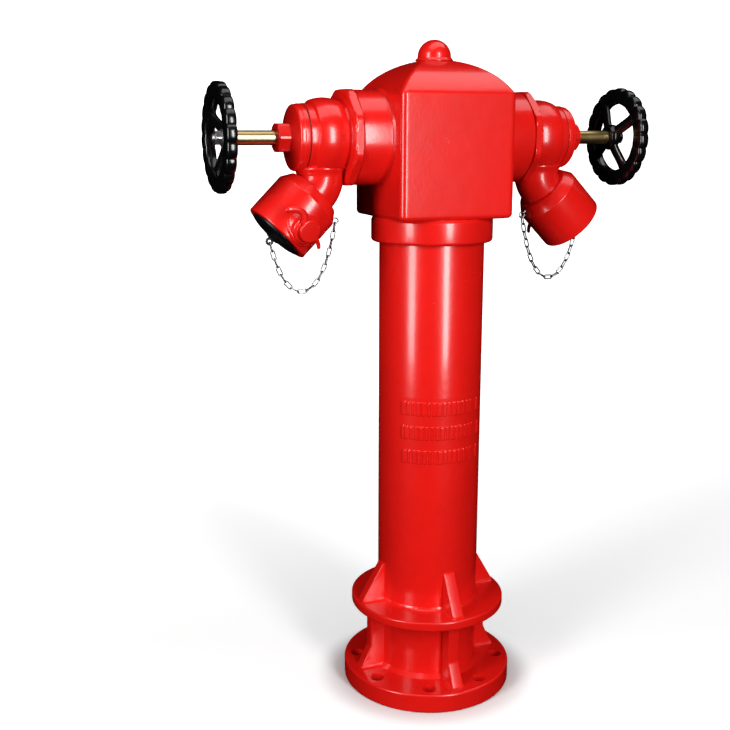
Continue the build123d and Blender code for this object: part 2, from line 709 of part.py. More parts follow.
def make_chain():
    at, length = hanging_curve()
    one = chain_link()
    slack = length - LINKS * LINK_PITCH
    links = []
    for i in range(LINKS):
        (x, z), (tx, tz) = at(slack / 2 + (i + 0.5) * LINK_PITCH)
        side = (0, 1, 0) if i % 2 else (tz, 0, -tx)
        links.append(Plane((x, 0, z), x_dir=(tx, 0, tz), z_dir=side).location * one)
    return Compound(children=links)


# ---- write every part ---------------------------------------------------------------------
os.makedirs("parts", exist_ok=True)

write("standpipe", make_pipe())
write("base_flange", make_base_flange())
write("lower_gussets", make_lower_gussets())
write("ground_flange", make_ground_flange())
write("upper_gussets", make_upper_gussets())
write("head_casing", make_head())
write("head_seal", make_head_seal())
write("crown_plug", make_crown_plug())
write("crown_plug_seal", make_crown_seal())

VALVE_PARTS = {
    "valve_body": make_valve_body,
    "seat_ring": make_seat_ring,
    "disc_facing": make_disc_facing,
    "disc_carrier": make_disc_carrier,
    "disc_nut": make_disc_nut,
    "bonnet_gasket": make_bonnet_gasket,
    "bonnet": make_bonnet,
    "gland_packing": make_gland_packing,
    "gland_nut": make_gland_nut,
    "stem": make_stem,
    "handwheel": make_handwheel,
    "wheel_washer": make_wheel_washer,
    "wheel_nut": make_wheel_nut,
    "hose_coupling": make_coupling,
    "coupling_seal": make_coupling_seal,
    "catch_pin": make_catch_pin,
    "catch_spring": make_catch_spring,
    "catch_cover": make_catch_cover,
    "catch_knob": make_catch_knob,
    "blank_cap": make_blank_cap,
    "chain_anchor": make_chain_anchor,
    "chain": make_chain,
}
for part_name, make in VALVE_PARTS.items():
    write_pair(part_name, make())
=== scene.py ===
"""Looks of a two-way pillar hydrant: red enamelled casting, black handwheels, brass stems.

The packed model is the fixed frame. Every new piece is a surface worked out on a grid, in metres,
in the same frame. Valve parts are drawn once, on the right, and turned half round the pillar for
the left valve.
"""
import json
import math

import bmesh
import bpy
import numpy as np
from bpy.props import FloatProperty, FloatVectorProperty, IntProperty, PointerProperty
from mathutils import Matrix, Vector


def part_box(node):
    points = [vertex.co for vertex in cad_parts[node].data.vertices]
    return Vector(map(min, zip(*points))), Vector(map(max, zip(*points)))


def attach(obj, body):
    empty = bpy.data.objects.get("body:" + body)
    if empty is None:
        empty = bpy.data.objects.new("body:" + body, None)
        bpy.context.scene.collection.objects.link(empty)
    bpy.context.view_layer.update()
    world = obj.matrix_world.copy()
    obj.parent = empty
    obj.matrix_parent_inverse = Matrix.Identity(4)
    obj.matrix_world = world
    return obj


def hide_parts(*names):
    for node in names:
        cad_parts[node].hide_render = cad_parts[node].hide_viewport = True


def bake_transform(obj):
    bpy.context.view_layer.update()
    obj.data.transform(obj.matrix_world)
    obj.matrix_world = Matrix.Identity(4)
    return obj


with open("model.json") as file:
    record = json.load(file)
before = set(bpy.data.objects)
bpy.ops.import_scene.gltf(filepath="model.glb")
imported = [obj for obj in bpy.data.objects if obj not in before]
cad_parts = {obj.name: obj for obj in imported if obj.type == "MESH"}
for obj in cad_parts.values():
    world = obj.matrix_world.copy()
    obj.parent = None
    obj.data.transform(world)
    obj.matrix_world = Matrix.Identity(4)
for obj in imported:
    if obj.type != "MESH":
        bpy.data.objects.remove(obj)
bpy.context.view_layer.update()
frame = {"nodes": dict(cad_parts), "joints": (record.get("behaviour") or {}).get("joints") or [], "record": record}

bl_info = {
    "name": "Pillar Hydrant",
    "version": (1, 0, 0),
    "blender": (4, 5, 0),
    "location": "3D View > Sidebar > Hydrant",
    "description": "Builds the visible pieces and finishes of a two-way pillar hydrant",
    "category": "Add Mesh",
}

MM = 0.001
TURN = 2 * math.pi
SIDES = ("right", "left")
SMOOTH_ANGLE = math.radians(38)
SAME_POINT = 0.004 * MM
NO_LENGTH = 0.001 * MM


# ---- measures read from the frame ---------------------------------------------------------
BOXES = {name: tuple(np.array(corner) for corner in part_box(name)) for name in frame["nodes"]}
JOINTS = {joint["name"]: joint for joint in frame["joints"]}
MOUNTS = {mount["name"]: mount for mount in frame["record"]["mounts"]}


def low(node, axis):
    """Lowest place of a CAD node along an axis: 0 is X, 1 is Y and 2 is Z."""
    return float(BOXES[node][0][axis])


def high(node, axis):
    """Highest place of a CAD node along an axis."""
    return float(BOXES[node][1][axis])


def middle(node):
    """Middle of a CAD node's box."""
    return (BOXES[node][0] + BOXES[node][1]) / 2


X, Y, Z = np.eye(3)
PIPE_R = high("standpipe", 0)
PIPE_TOP = high("standpipe", 2)
PIPE_BORE_R = MOUNTS["inlet_bore"]["dims"]["r_mm"] * MM
# The base flange's plate ends here; its box also holds the weld round the pipe.
BASE_TOP = 32 * MM
GROUND_R = high("ground_flange", 0)
GROUND_Z = float(middle("ground_flange")[2])
COLLAR_R = high("head_casing", 1)
COLLAR_BOTTOM = low("head_casing", 2)
BOSS_END = high("head_casing", 0)
PLUG_R = high("crown_plug", 0)
PLUG_TOP = high("crown_plug", 2)

VALVE_Z = float(middle("right_stem")[2])
VALVE_LINE = np.array([0.0, 0.0, VALVE_Z])
OCTAGON_FLATS = 2 * high("right_valve_body", 1)
MOUTH_X = low("right_bonnet_gasket", 0)
BONNET_X = high("right_bonnet_gasket", 0)
BONNET_END = high("right_bonnet", 0)
BONNET_R = high("right_bonnet", 1)
GLAND_END = high("right_gland_nut", 0)
GLAND_FLATS = 2 * high("right_gland_nut", 1)
STEM_R = high("right_stem", 1)
STEM_START = low("right_stem", 0)
STEM_TIP = high("right_stem", 0)
HUB_START = low("right_handwheel", 0)
HUB_END = low("right_wheel_washer", 0)
RIM_END = high("right_handwheel", 0)
WASHER_END = high("right_wheel_washer", 0)
WASHER_R = high("right_wheel_washer", 1)
NUT_END = high("right_wheel_nut", 0)
NUT_FLATS = 2 * high("right_wheel_nut", 1)

# The outlet runs along the cap's pull. Distances along it count from the elbow's bend point.
OUTLET = np.array(JOINTS["right_cap_pull"]["axis"])
CATCH = np.array(JOINTS["right_catch_pull"]["axis"])
SEAL_AT = 65 * MM
BEND = middle("right_coupling_seal") - SEAL_AT * OUTLET
OUTLET_UP = np.cross(OUTLET, Y)
# Height of the catch's boss from the outlet's axis, under the cover plate.
CATCH_BOSS_TOP = 60.5 * MM


# ---- sizes and colours a user would change --------------------------------------------------
def length(name, default, description):
    """A length in metres that can be edited in the panel."""
    return FloatProperty(
        name=name, default=default, description=description, unit="LENGTH", min=0.0, precision=4
    )


def colour(name, default, description):
    """A colour that can be edited in the panel."""
    return FloatVectorProperty(
        name=name, default=default, description=description, subtype="COLOR", size=3,
        min=0.0, max=1.0,
    )


class PillarSizes(bpy.types.PropertyGroup):
    """Sizes of the standpipe, flanges, gussets and head."""

    weld_leg: length("Weld leg", 7 * MM, "Leg of the fillet welds round the pipe")
    ground_thick: length("Ground flange", 15 * MM, "Thickness of the ground flange")
    gusset_thick: length("Gusset", 20 * MM, "Thickness of the gusset plates")
    plate_edge: length("Plate edge", 2.2 * MM, "Rounding of plate edges")
    head_half: length("Head half width", 95 * MM, "Half the width of the square head")
    head_bottom: length("Head bottom", 794 * MM, "Height of the head's underside")
    head_eaves: length("Head eaves", 981 * MM, "Height where the roof starts")
    head_corner: length("Head corner", 9 * MM, "Rounding of the head's upright edges")
    roof_radius: length("Roof radius", 111.6 * MM, "Radius of each vaulted roof face")
    boss_radius: length("Boss radius", 71 * MM, "Radius of the side bosses")
    bar_height: length("Bar height", 2.0 * MM, "How far the plain bars stand out of the pipe")
    bar_rows: IntProperty(name="Bar rows", default=3, description="Rows of raised bars", min=1)


class ValveSizes(bpy.types.PropertyGroup):
    """Sizes of the valve castings, handwheels, couplings and chains."""

    octagon_width: length("Octagon width", 14 * MM, "Width of the inlet octagon")
    globe_x: length("Globe centre", 184.5 * MM, "Distance of the globe from the pillar axis")
    globe_radius: length("Globe radius", 59 * MM, "Radius of the valve's globe")
    neck_radius: length("Neck radius", 35.5 * MM, "Outside radius of the elbow")
    neck_bend: length("Neck bend", 38 * MM, "Radius of the elbow's bend")
    barrel_radius: length("Barrel radius", 53.5 * MM, "Outside radius of the hose coupling")
    barrel_start: length("Barrel start", 33 * MM, "Where the barrel starts on the outlet")
    barrel_end: length("Barrel end", 101 * MM, "Where the coupling's mouth is")
    shoulder_start: length("Shoulder start", 16.5 * MM, "Where the coupling starts")
    shoulder_radius: length("Shoulder radius", 43 * MM, "Radius where the shoulder starts")
    coupling_bore: length("Coupling bore", 44.5 * MM, "Radius of the coupling's mouth")
    bore_start: length("Bore start", 62 * MM, "Where the mouth's bore starts")
    catch_at: length("Catch place", 73 * MM, "Where the catch stands on the outlet")
    catch_top: length("Catch top", 70.5 * MM, "Distance of the knob's face from the outlet axis")
    cap_radius: length("Cap radius", 44.1 * MM, "Radius of the blank cap")
    cap_start: length("Cap start", 69 * MM, "Where the blank cap starts inside the coupling")
    cap_face: length("Cap face", 104 * MM, "Where the cap's rim ends")
    cap_crown: length("Cap crown", 109 * MM, "Where the cap's domed face ends")
    eye_at: length("Eye place", 116 * MM, "Where the cap's chain eye is")
    rim_inner: length("Rim inside", 54 * MM, "Inside radius of the handwheel's rim")
    rim_crest: length("Rim crest", 80.4 * MM, "Radius of the handwheel's lobes")
    rim_start: length("Rim start", 333.6 * MM, "Inner face of the handwheel's rim")
    lobes: IntProperty(name="Lobes", default=20, description="Lobes on the handwheel", min=3)
    spokes: IntProperty(name="Spokes", default=4, description="Spokes of the handwheel", min=2)
    first_spoke: FloatProperty(
        name="First spoke", default=math.radians(-31.5), unit="ROTATION",
        description="Turn of the first spoke from straight up, with the valve shut",
    )
    hub_radius: length("Hub radius", 20.8 * MM, "Radius of the handwheel's hub")
    mouth_radius: length("Globe mouth", 50.5 * MM, "Radius of the band the bonnet lies on")
    mouth_width: length("Globe mouth width", 10.5 * MM, "Width of that band")
    neck_bore: length("Neck bore", 27.5 * MM, "Inside radius of the elbow")
    links: IntProperty(name="Links", default=17, description="Links of the keep chain", min=3)
    link_pitch: length("Link pitch", 13 * MM, "Inside length of one link")
    link_wide: length("Link width", 6.3 * MM, "Width of a link between wire centres")
    wire_radius: length("Wire radius", 1.1 * MM, "Radius of the chain's wire")


class FinishColours(bpy.types.PropertyGroup):
    """Colours of the finishes."""

    red: colour("Red", (0.80, 0.010, 0.007), "Fire-red enamel")
    red_deep: colour("Deep red", (0.62, 0.006, 0.004), "The enamel where it lies thick")
    black: colour("Black", (0.0025, 0.0025, 0.003), "Handwheel enamel")
    plastic: colour("Cap", (0.0035, 0.0035, 0.004), "Moulded cap")
    brass: colour("Brass", (0.56, 0.41, 0.17), "Turned brass")
    steel: colour("Steel", (0.52, 0.52, 0.53), "Machined steel")
    zinc: colour("Zinc", (0.34, 0.34, 0.35), "Zinc-plated wire")
    rubber: colour("Rubber", (0.015, 0.015, 0.015), "Seals and packing")
    floor: colour("Floor", (0.86, 0.86, 0.86), "Studio floor")


class StudioSettings(bpy.types.PropertyGroup):
    """Camera and lights."""

    camera: FloatVectorProperty(
        name="Camera", default=(-0.7099, -1.4850, 0.9227), subtype="XYZ", unit="LENGTH",
        description="Where the camera stands",
    )
    camera_pitch: FloatProperty(
        name="Pitch", default=math.radians(77.24), unit="ROTATION",
        description="Camera's tilt from looking straight down",
    )
    camera_heading: FloatProperty(
        name="Heading", default=math.radians(-21.83), unit="ROTATION",
        description="Camera's turn from the +Y direction",
    )
    lens: FloatProperty(name="Lens", default=50.39, description="Focal length, millimetres")
    key_power: FloatProperty(name="Key power", default=46.0, description="Watts of each soft box")
    sky: FloatProperty(name="Sky", default=0.90, description="Strength of the backdrop")


def sizes():
    """The scene's PillarSizes."""
    return bpy.context.scene.pillar_sizes


def valve():
    """The scene's ValveSizes."""
    return bpy.context.scene.valve_sizes


def colours():
    """The scene's FinishColours."""
    return bpy.context.scene.finish_colours


# ---- outlines -------------------------------------------------------------------------------
def rounded(corners, steps=6):
    """An open outline with its inner corners turned into arcs.

    corners is a list of (x, y, radius). An arc of that radius is tangent to both runs: its ends
    lie radius / tan(half the corner's angle) from the corner, and its points are the spherical
    interpolation between the two end directions seen from the arc's centre.
    """
    points = np.array([c[:2] for c in corners], float)
    out = [points[:1]]
    for i in range(1, len(points) - 1):
        radius = corners[i][2]
        back = points[i - 1] - points[i]
        ahead = points[i + 1] - points[i]
        back = back / np.linalg.norm(back)
        ahead = ahead / np.linalg.norm(ahead)
        half = math.acos(np.clip(back @ ahead, -1, 1)) / 2
        if radius <= 0 or half > math.radians(89.9):
            out.append(points[i:i + 1])
            continue
        reach = radius / math.tan(half)
        centre = points[i] + (back + ahead) / np.linalg.norm(back + ahead) * radius / math.sin(half)
        first = (points[i] + back * reach - centre) / radius
        last = (points[i] + ahead * reach - centre) / radius
        sweep = math.acos(np.clip(first @ last, -1, 1))
        share = np.linspace(0, 1, steps + 1)[:, None]
        arc = (np.sin((1 - share) * sweep) * first + np.sin(share * sweep) * last)
        out.append(centre + radius * arc / math.sin(sweep))
    out.append(points[-1:])
    return np.vstack(out)


def ring_outline(corners, steps=6):
    """A closed outline with every corner rounded: the first corner comes round again."""
    wrapped = [corners[-1]] + list(corners) + [corners[0]]
    return rounded(wrapped, steps)[1:-1]


def divided(outline, longest):
    """The outline with extra points, so that no run is longer than `longest`."""
    runs = np.linalg.norm(np.diff(outline, axis=0), axis=1)
    travel = np.concatenate([[0], np.cumsum(runs)])
    counts = np.maximum(1, np.ceil(runs / longest).astype(int))
    extra = [np.linspace(a, b, n, endpoint=False) for a, b, n in zip(travel, travel[1:], counts)]
    places = np.append(np.concatenate(extra), travel[-1])
    return np.stack([np.interp(places, travel, outline[:, k]) for k in (0, 1)], 1)


# ---- grids and meshes -----------------------------------------------------------------------
def skin(points, wrap_rows=False, wrap_cols=True, caps=False):
    """Faces over a (rows, columns, 3) grid of points; caps closes the first and last row."""
    rows, cols = points.shape[:2]
    index = np.arange(rows * cols).reshape(rows, cols)
    ring_first, ring_last = index[0], index[-1]
    if wrap_rows:
        index = np.vstack([index, index[:1]])
    if wrap_cols:
        index = np.hstack([index, index[:, :1]])
    quads = np.stack([index[:-1, :-1], index[:-1, 1:], index[1:, 1:], index[1:, :-1]], -1)
    faces = quads.reshape(-1, 4).tolist()
    if caps:
        faces += [ring_first[::-1].tolist(), ring_last.tolist()]
    return points.reshape(-1, 3), faces


def joined(shells):
    """Several (points, faces) shells as one."""
    points, faces, offset = [], [], 0
    for shell_points, shell_faces in shells:
        points.append(shell_points)
        faces += [[i + offset for i in face] for face in shell_faces]
        offset += len(shell_points)
    return np.vstack(points), faces


def spun(outline, origin, axis, side, segments=96, radius=None, closed=False):
    """A solid of revolution: point = origin + a * axis + r * (cos t * side + sin t * side2).

    outline is rows of (a, r). radius, if given, is a function (a, r, t) that reshapes r. closed
    joins the outline's last row to its first, for a ring; otherwise it starts and ends on the
    axis or in caps.
    """
    angle = np.linspace(0, TURN, segments, endpoint=False)[None, :]
    along = outline[:, :1]
    away = np.broadcast_to(outline[:, 1:2], (len(outline), segments))
    if radius is not None:
        away = radius(along, away, angle)
    other = np.cross(axis, side)
    points = (
        origin
        + along[..., None] * axis
        + away[..., None] * (np.cos(angle)[..., None] * side + np.sin(angle)[..., None] * other)
    )
    return skin(points, wrap_rows=closed, caps=not closed)


def upright(outline, **options):
    """A solid of revolution about the pillar axis; outline is (height, radius)."""
    return spun(outline, np.zeros(3), Z, X, **options)


def on_valve(outline, **options):
    """A solid of revolution about the valve line; outline is (x, radius)."""
    return spun(outline, VALVE_LINE, X, Z, **options)


def on_outlet(outline, **options):
    """A solid of revolution about the outlet; outline is (distance, radius)."""
    return spun(outline, BEND, OUTLET, Y, **options)


def on_catch(outline, **options):
    """A solid of revolution about the catch; outline is (height from the outlet, radius)."""
    return spun(outline, BEND + valve().catch_at * OUTLET, CATCH, OUTLET, **options)


def ring(turned, segments, corners, steps=6, longest=None, **options):
    """A closed ring about a line; turned is upright, on_valve or another of those above.

    No run of its outline is longer than longest, if that is given.
    """
    outline = ring_outline(corners, steps)
    if longest:
        outline = divided(np.vstack([outline, outline[:1]]), longest)[:-1]
    return turned(outline, segments=segments, closed=True, **options)


def solid(turned, segments, corners, steps=6):
    """A solid about a line, whose outline starts and ends on that line."""
    return turned(rounded(corners, steps), segments=segments)


def flats(width, sides, soft=0.0):
    """Radius function of a polygon with `sides` flats: half width / cos(angle from the flat).

    The result is the smaller of that and the outline's own radius, so an outline that narrows
    towards a face cuts the usual chamfer arcs. soft rounds the upright corners.
    """
    def radius(along, away, angle):
        """The outline's own radius, cut down to the polygon's."""
        step = TURN / sides
        from_flat = (angle + step / 2) % step - step / 2
        across = width / 2 / np.cos(from_flat)
        limit = width / 2 / math.cos(step / 2) - soft
        across = limit - np.sqrt(np.maximum(limit - across, 0) ** 2 + soft**2 / 4)
        across = np.maximum(across, width / 2 * 0.999)
        return np.minimum(away, np.broadcast_to(across, away.shape))
    return radius


def tube_rows(path, radii, side=Y, segments=48):
    """Rings along a path in a plane square to `side`.

    point = path + a * cos t * side + b * sin t * (tangent x side). radii is one number a row, or
    (row, 2) with a and b.
    """
    radii = np.asarray(radii, float)
    if radii.ndim == 1:
        radii = np.stack([radii, radii], 1)
    tangent = np.gradient(path, axis=0)
    tangent /= np.linalg.norm(tangent, axis=1, keepdims=True)
    across = np.cross(tangent, side)
    angle = np.linspace(0, TURN, segments, endpoint=False)
    return (
        path[:, None]
        + radii[:, :1, None] * np.cos(angle)[None, :, None] * side
        + radii[:, 1:, None] * np.sin(angle)[None, :, None] * across[:, None]
    )


def swept(path, radii, side=Y, segments=48):
    """A solid bar along a path: the rings of tube_rows with capped ends."""
    return skin(tube_rows(path, radii, side, segments), caps=True)


def placed(points, side):
    """The points as they are on the right, or half a turn round the pillar on the left."""
    return points * np.array([-1.0, -1.0, 1.0]) if side == "left" else points


def make_piece(name, shells, finish_name, body=None, stands_for=(), side="right"):
    """Makes a mesh object from shells, merges its poles and seams and faces it outwards."""
    points, faces = joined(shells)
    mesh = bpy.data.meshes.new(name)
    mesh.from_pydata(placed(points, side).tolist(), [], faces)
    work = bmesh.new()
    work.from_mesh(mesh)
    bmesh.ops.remove_doubles(work, verts=work.verts, dist=SAME_POINT)
    bmesh.ops.dissolve_degenerate(work, edges=work.edges, dist=NO_LENGTH)
    bmesh.ops.recalc_face_normals(work, faces=work.faces)
    work.to_mesh(mesh)
    work.free()
    mesh.polygons.foreach_set("use_smooth", np.ones(len(mesh.polygons), bool))
    mesh.set_sharp_from_angle(angle=SMOOTH_ANGLE)
    mesh.materials.append(finish(finish_name))
    piece = bpy.data.objects.new(name, mesh)
    bpy.context.scene.collection.objects.link(piece)
    if body:
        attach(piece, body)
    if stands_for:
        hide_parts(*stands_for)
    return piece


def make_pair(name, shells, finish_name, body, *nodes):
    """Makes a valve's piece on both sides; body is the pillar or a body that each side has."""
    for side in SIDES:
        rides = body if body == "pillar" else f"{side}_{body}"
        stands_for = [f"{side}_{node}" for node in nodes]
        make_piece(f"{side}_{name}", shells, finish_name, rides, stands_for, side)


def dress(finish_name, *nodes):
    """Gives carried-over CAD nodes their finish."""
    for node in nodes:
        slots = frame["nodes"][node].data.materials
        slots.clear()
        slots.append(finish(finish_name))


def dress_pairs(finish_name, *nodes):
    """The same for nodes that each valve has."""
    dress(finish_name, *(f"{side}_{node}" for side in SIDES for node in nodes))


# ---- finishes -------------------------------------------------------------------------------
class Wire:
    """A socket that can be used in arithmetic: each operator adds one Math node."""

    def __init__(self, paint, socket):
        self.paint = paint
        self.socket = socket

    def _math(self, operation, first, second):
        return self.paint.node("ShaderNodeMath", {"operation": operation}, {0: first, 1: second})

    def __add__(self, other):
        return self._math("ADD", self, other)

    def __radd__(self, other):
        return self._math("ADD", other, self)

    def __sub__(self, other):
        return self._math("SUBTRACT", self, other)

    def __rsub__(self, other):
        return self._math("SUBTRACT", other, self)

    def __mul__(self, other):
        return self._math("MULTIPLY", self, other)

    def __rmul__(self, other):
        return self._math("MULTIPLY", other, self)

    def between(self, start, end):
        """0 below start, 1 above end, smooth in between."""
        return self.paint.node(
            "ShaderNodeMapRange", {"interpolation_type": "SMOOTHSTEP"},
            {"Value": self, "From Min": start, "From Max": end},
        )


class Paint:
    """One material and its node tree."""

    def __init__(self, name):
        self.material = bpy.data.materials.new(name)
        self.material.use_nodes = True
        self.tree = self.material.node_tree
        self.tree.nodes.clear()
        self.shader = self.tree.nodes.new("ShaderNodeBsdfPrincipled")
        output = self.tree.nodes.new("ShaderNodeOutputMaterial")
        self.tree.links.new(self.shader.outputs["BSDF"], output.inputs["Surface"])

    def node(self, kind, settings=None, sockets=None, out=0):
        """Adds a node: its settings first, then the values or links of its sockets."""
        made = self.tree.nodes.new(kind)
        for key, value in (settings or {}).items():
            setattr(made, key, value)
        for key, value in (sockets or {}).items():
            self._feed(made.inputs[key], value)
        return Wire(self, made.outputs[out])

    def _feed(self, socket, value):
        if isinstance(value, Wire):
            self.tree.links.new(value.socket, socket)
        elif hasattr(value, "__len__") and len(value) == 3 and socket.type == "RGBA":
            socket.default_value = (*value, 1.0)
        else:
            socket.default_value = value

    def set(self, **values):
        """Sets the shader's own sockets, whose names use _ for a space; returns the material."""
        for key, value in values.items():
            self._feed(self.shader.inputs[key.replace("_", " ")], value)
        return self.material

    def metal(self, tone, roughness, normal):
        """Finishes the material as a bare metal."""
        return self.set(Base_Color=tone, Metallic=1.0, Roughness=roughness, Normal=normal)

    def place(self, scale=(1.0, 1.0, 1.0)):
        """Object coordinates in metres, scaled."""
        here = self.node("ShaderNodeTexCoord", out="Object")
        return self.node("ShaderNodeMapping", {}, {"Vector": here, "Scale": scale})

    def noise(self, size, detail=3.0, roughness=0.5, place=None, seed=0.0):
        """Noise with blotches of about `size` metres; seed shifts the fourth dimension."""
        return self.node(
            "ShaderNodeTexNoise", {"noise_dimensions": "4D"},
            {
                "Vector": place or self.place(), "Scale": 1.0 / size, "Detail": detail,
                "Roughness": roughness, "W": seed,
            },
        )

    def blend(self, share, first, second):
        """A colour between two, by share."""
        return self.node(
            "ShaderNodeMix", {"data_type": "RGBA"}, {0: share, 6: first, 7: second}, out=2
        )

    def bump(self, height, distance, strength, below=None):
        """A bump of `distance` metres over another normal, or over the bare surface."""
        sockets = {"Height": height, "Distance": distance, "Strength": strength}
        if below is not None:
            sockets["Normal"] = below
        return self.node("ShaderNodeBump", {}, sockets)


FINISHES = {}


def finish(name):
    """The material of that name, made once."""
    if name not in FINISHES:
        FINISHES[name] = MAKERS[name]()
    return FINISHES[name]


def enamel(name, grain, grain_depth, waves):
    """Gloss red enamel: thick and thin tones, dust specks, orange peel over the metal's grain.

    grain is the size of the metal's grain, grain_depth its relief and waves the size of the sags.
    """
    paint = Paint(name)
    tone = paint.noise(90 * MM, detail=4.0, seed=1.3)
    pool = paint.noise(14 * MM, detail=2.0, seed=4.1)
    thick = (tone * 0.7 + pool * 0.3).between(0.35, 0.70)
    speck = paint.noise(1.1 * MM, detail=2.0, seed=8.2).between(0.69, 0.74)
    scuff = paint.noise(30 * MM, detail=6.0, roughness=0.7, seed=2.7).between(0.60, 0.78)
    red = paint.blend(thick * 0.40, colours().red, colours().red_deep)
    red = paint.blend(speck * 0.06, red, (0.9, 0.35, 0.30))
    metal_grain = paint.noise(grain, detail=3.0, roughness=0.6, seed=3.3)
    peel = paint.noise(2.6 * MM, detail=1.0, seed=5.9)
    sag = paint.noise(waves, detail=1.0, seed=7.4)
    normal = paint.bump(sag, 0.9 * MM, 0.4)
    normal = paint.bump(metal_grain, grain_depth, 0.6, below=normal)
    normal = paint.bump(peel, 0.10 * MM, 0.5, below=normal)
    return paint.set(
        Base_Color=red,
        Roughness=0.21 + tone * 0.08 + scuff * 0.07,
        Normal=normal,
        Coat_Weight=0.30 - scuff * 0.08,
        Coat_Roughness=0.10,
        Specular_IOR_Level=0.5,
    )


def black_enamel():
    """Black gloss enamel over a sand casting: coarse grain, rub marks, dust in the hollows."""
    paint = Paint("black_gloss_enamel")
    grain = paint.noise(3.2 * MM, detail=4.0, roughness=0.6, seed=1.9)
    sag = paint.noise(16 * MM, detail=1.0, seed=3.6)
    rub = paint.noise(22 * MM, detail=6.0, roughness=0.7, seed=6.6).between(0.56, 0.75)
    dust = paint.noise(0.9 * MM, detail=2.0, seed=9.5).between(0.66, 0.72)
    black = paint.blend(rub * 0.20, colours().black, (0.014, 0.014, 0.016))
    black = paint.blend(dust * 0.10, black, (0.14, 0.14, 0.14))
    normal = paint.bump(sag, 0.8 * MM, 0.5)
    normal = paint.bump(grain, 0.3 * MM, 0.5, below=normal)
    return paint.set(
        Base_Color=black, Roughness=0.17 + grain * 0.08 + rub * 0.10, Normal=normal,
        Coat_Weight=0.35 - rub * 0.15, Coat_Roughness=0.08,
    )


def turned_brass():
    """Turned brass: fine tool rings along X, faint tarnish and fingerprints."""
    paint = Paint("turned_brass")
    rings = paint.noise(0.45 * MM, detail=2.0, place=paint.place((1.0, 0.02, 0.02)), seed=2.2)
    stain = paint.noise(18 * MM, detail=5.0, roughness=0.65, seed=5.5).between(0.45, 0.75)
    streak = paint.noise(3 * MM, detail=3.0, place=paint.place((1.0, 0.15, 0.15)), seed=7.7)
    tarnished = paint.blend(stain * 0.4, colours().brass, (0.42, 0.27, 0.09))
    return paint.metal(
        paint.blend(streak * 0.12, tarnished, (0.80, 0.62, 0.30)),
        0.30 + stain * 0.10 + rings * 0.04, paint.bump(rings, 0.006 * MM, 0.4),
    )


def machined_steel():
    """Bright machined steel with a fine grain and a little grey bloom."""
    paint = Paint("machined_steel")
    grain = paint.noise(0.5 * MM, detail=3.0, place=paint.place((1.0, 0.1, 0.1)), seed=1.1)
    bloom = paint.noise(7 * MM, detail=5.0, roughness=0.7, seed=4.6).between(0.45, 0.72)
    return paint.metal(
        paint.blend(bloom * 0.6, colours().steel, (0.30, 0.29, 0.28)),
        0.28 + bloom * 0.22 + grain * 0.08, paint.bump(grain, 0.04 * MM, 0.6),
    )


def zinc_wire():
    """Zinc-plated wire: bright, with a milky patch here and there."""
    paint = Paint("zinc_wire")
    spangle = paint.noise(2.2 * MM, detail=3.0, seed=2.9)
    milk = paint.noise(6 * MM, detail=4.0, roughness=0.65, seed=6.1).between(0.50, 0.72)
    return paint.metal(
        paint.blend(milk * 0.6, colours().zinc, (0.20, 0.20, 0.21)),
        0.22 + milk * 0.25 + spangle * 0.08, paint.bump(spangle, 0.05 * MM, 0.6),
    )


def moulded_plastic():
    """Black moulded plastic: fine matt texture, paler rubbed patches."""
    paint = Paint("moulded_plastic")
    texture = paint.noise(0.7 * MM, detail=2.0, seed=3.8)
    flow = paint.noise(14 * MM, detail=3.0, seed=5.2)
    rub = paint.noise(9 * MM, detail=6.0, roughness=0.75, seed=8.8).between(0.55, 0.75)
    black = paint.blend(rub * 0.25, colours().plastic, (0.024, 0.024, 0.026))
    normal = paint.bump(flow, 0.4 * MM, 0.4)
    return paint.set(
        Base_Color=black, Roughness=0.27 + texture * 0.10 + rub * 0.10,
        Normal=paint.bump(texture, 0.06 * MM, 0.6, below=normal),
    )


def seal_rubber():
    """Black nitrile rubber with talc bloom."""
    paint = Paint("seal_rubber")
    bloom = paint.noise(8 * MM, detail=5.0, roughness=0.7, seed=4.4).between(0.45, 0.75)
    grain = paint.noise(0.8 * MM, detail=2.0, seed=1.7)
    black = paint.blend(bloom * 0.5, colours().rubber, (0.07, 0.07, 0.068))
    return paint.set(
        Base_Color=black, Roughness=0.62 + bloom * 0.2,
        Normal=paint.bump(grain, 0.08 * MM, 0.5),
    )


def floor_with_painted_glow():
    """Pale seamless floor with the faintest paper grain; it glows a little away from the object as painted light,
    and not near its base, which paints a soft shadow ring round the object.
    """
    paint = Paint("floor_with_painted_glow")
    far = paint.node("ShaderNodeVectorMath", {"operation": "LENGTH"}, {0: paint.place()}, out=1)
    grain = paint.noise(4 * MM, detail=2.0, seed=1.0)
    pale = paint.blend(grain * 0.2, colours().floor, (0.82, 0.82, 0.82))
    return paint.set(
        Base_Color=pale, Roughness=0.7 + grain * 0.1, Emission_Strength=0.50,
        # Painted light and shade: the emission is off within 0.14 m of the axis and full beyond 0.20 m, so the
        # floor glows far out and has a painted shadow ring round the base.
        Emission_Color=paint.blend(far.between(0.14, 0.20), (0.0, 0.0, 0.0), pale),
    )


# How each finish is made.
MAKERS = {
    "cast_red": lambda: enamel("cast_red_enamel", 5.5 * MM, 0.22 * MM, 38 * MM),
    "pipe_red": lambda: enamel("pipe_red_enamel", 9.0 * MM, 0.25 * MM, 70 * MM),
    "plate_red": lambda: enamel("plate_red_enamel", 4.0 * MM, 0.22 * MM, 26 * MM),
    "fitting_red": lambda: enamel("fitting_red_enamel", 3.0 * MM, 0.22 * MM, 20 * MM),
    "black": black_enamel,
    "brass": turned_brass,
    "steel": machined_steel,
    "zinc": zinc_wire,
    "plastic": moulded_plastic,
    "rubber": seal_rubber,
    "floor": floor_with_painted_glow,
}
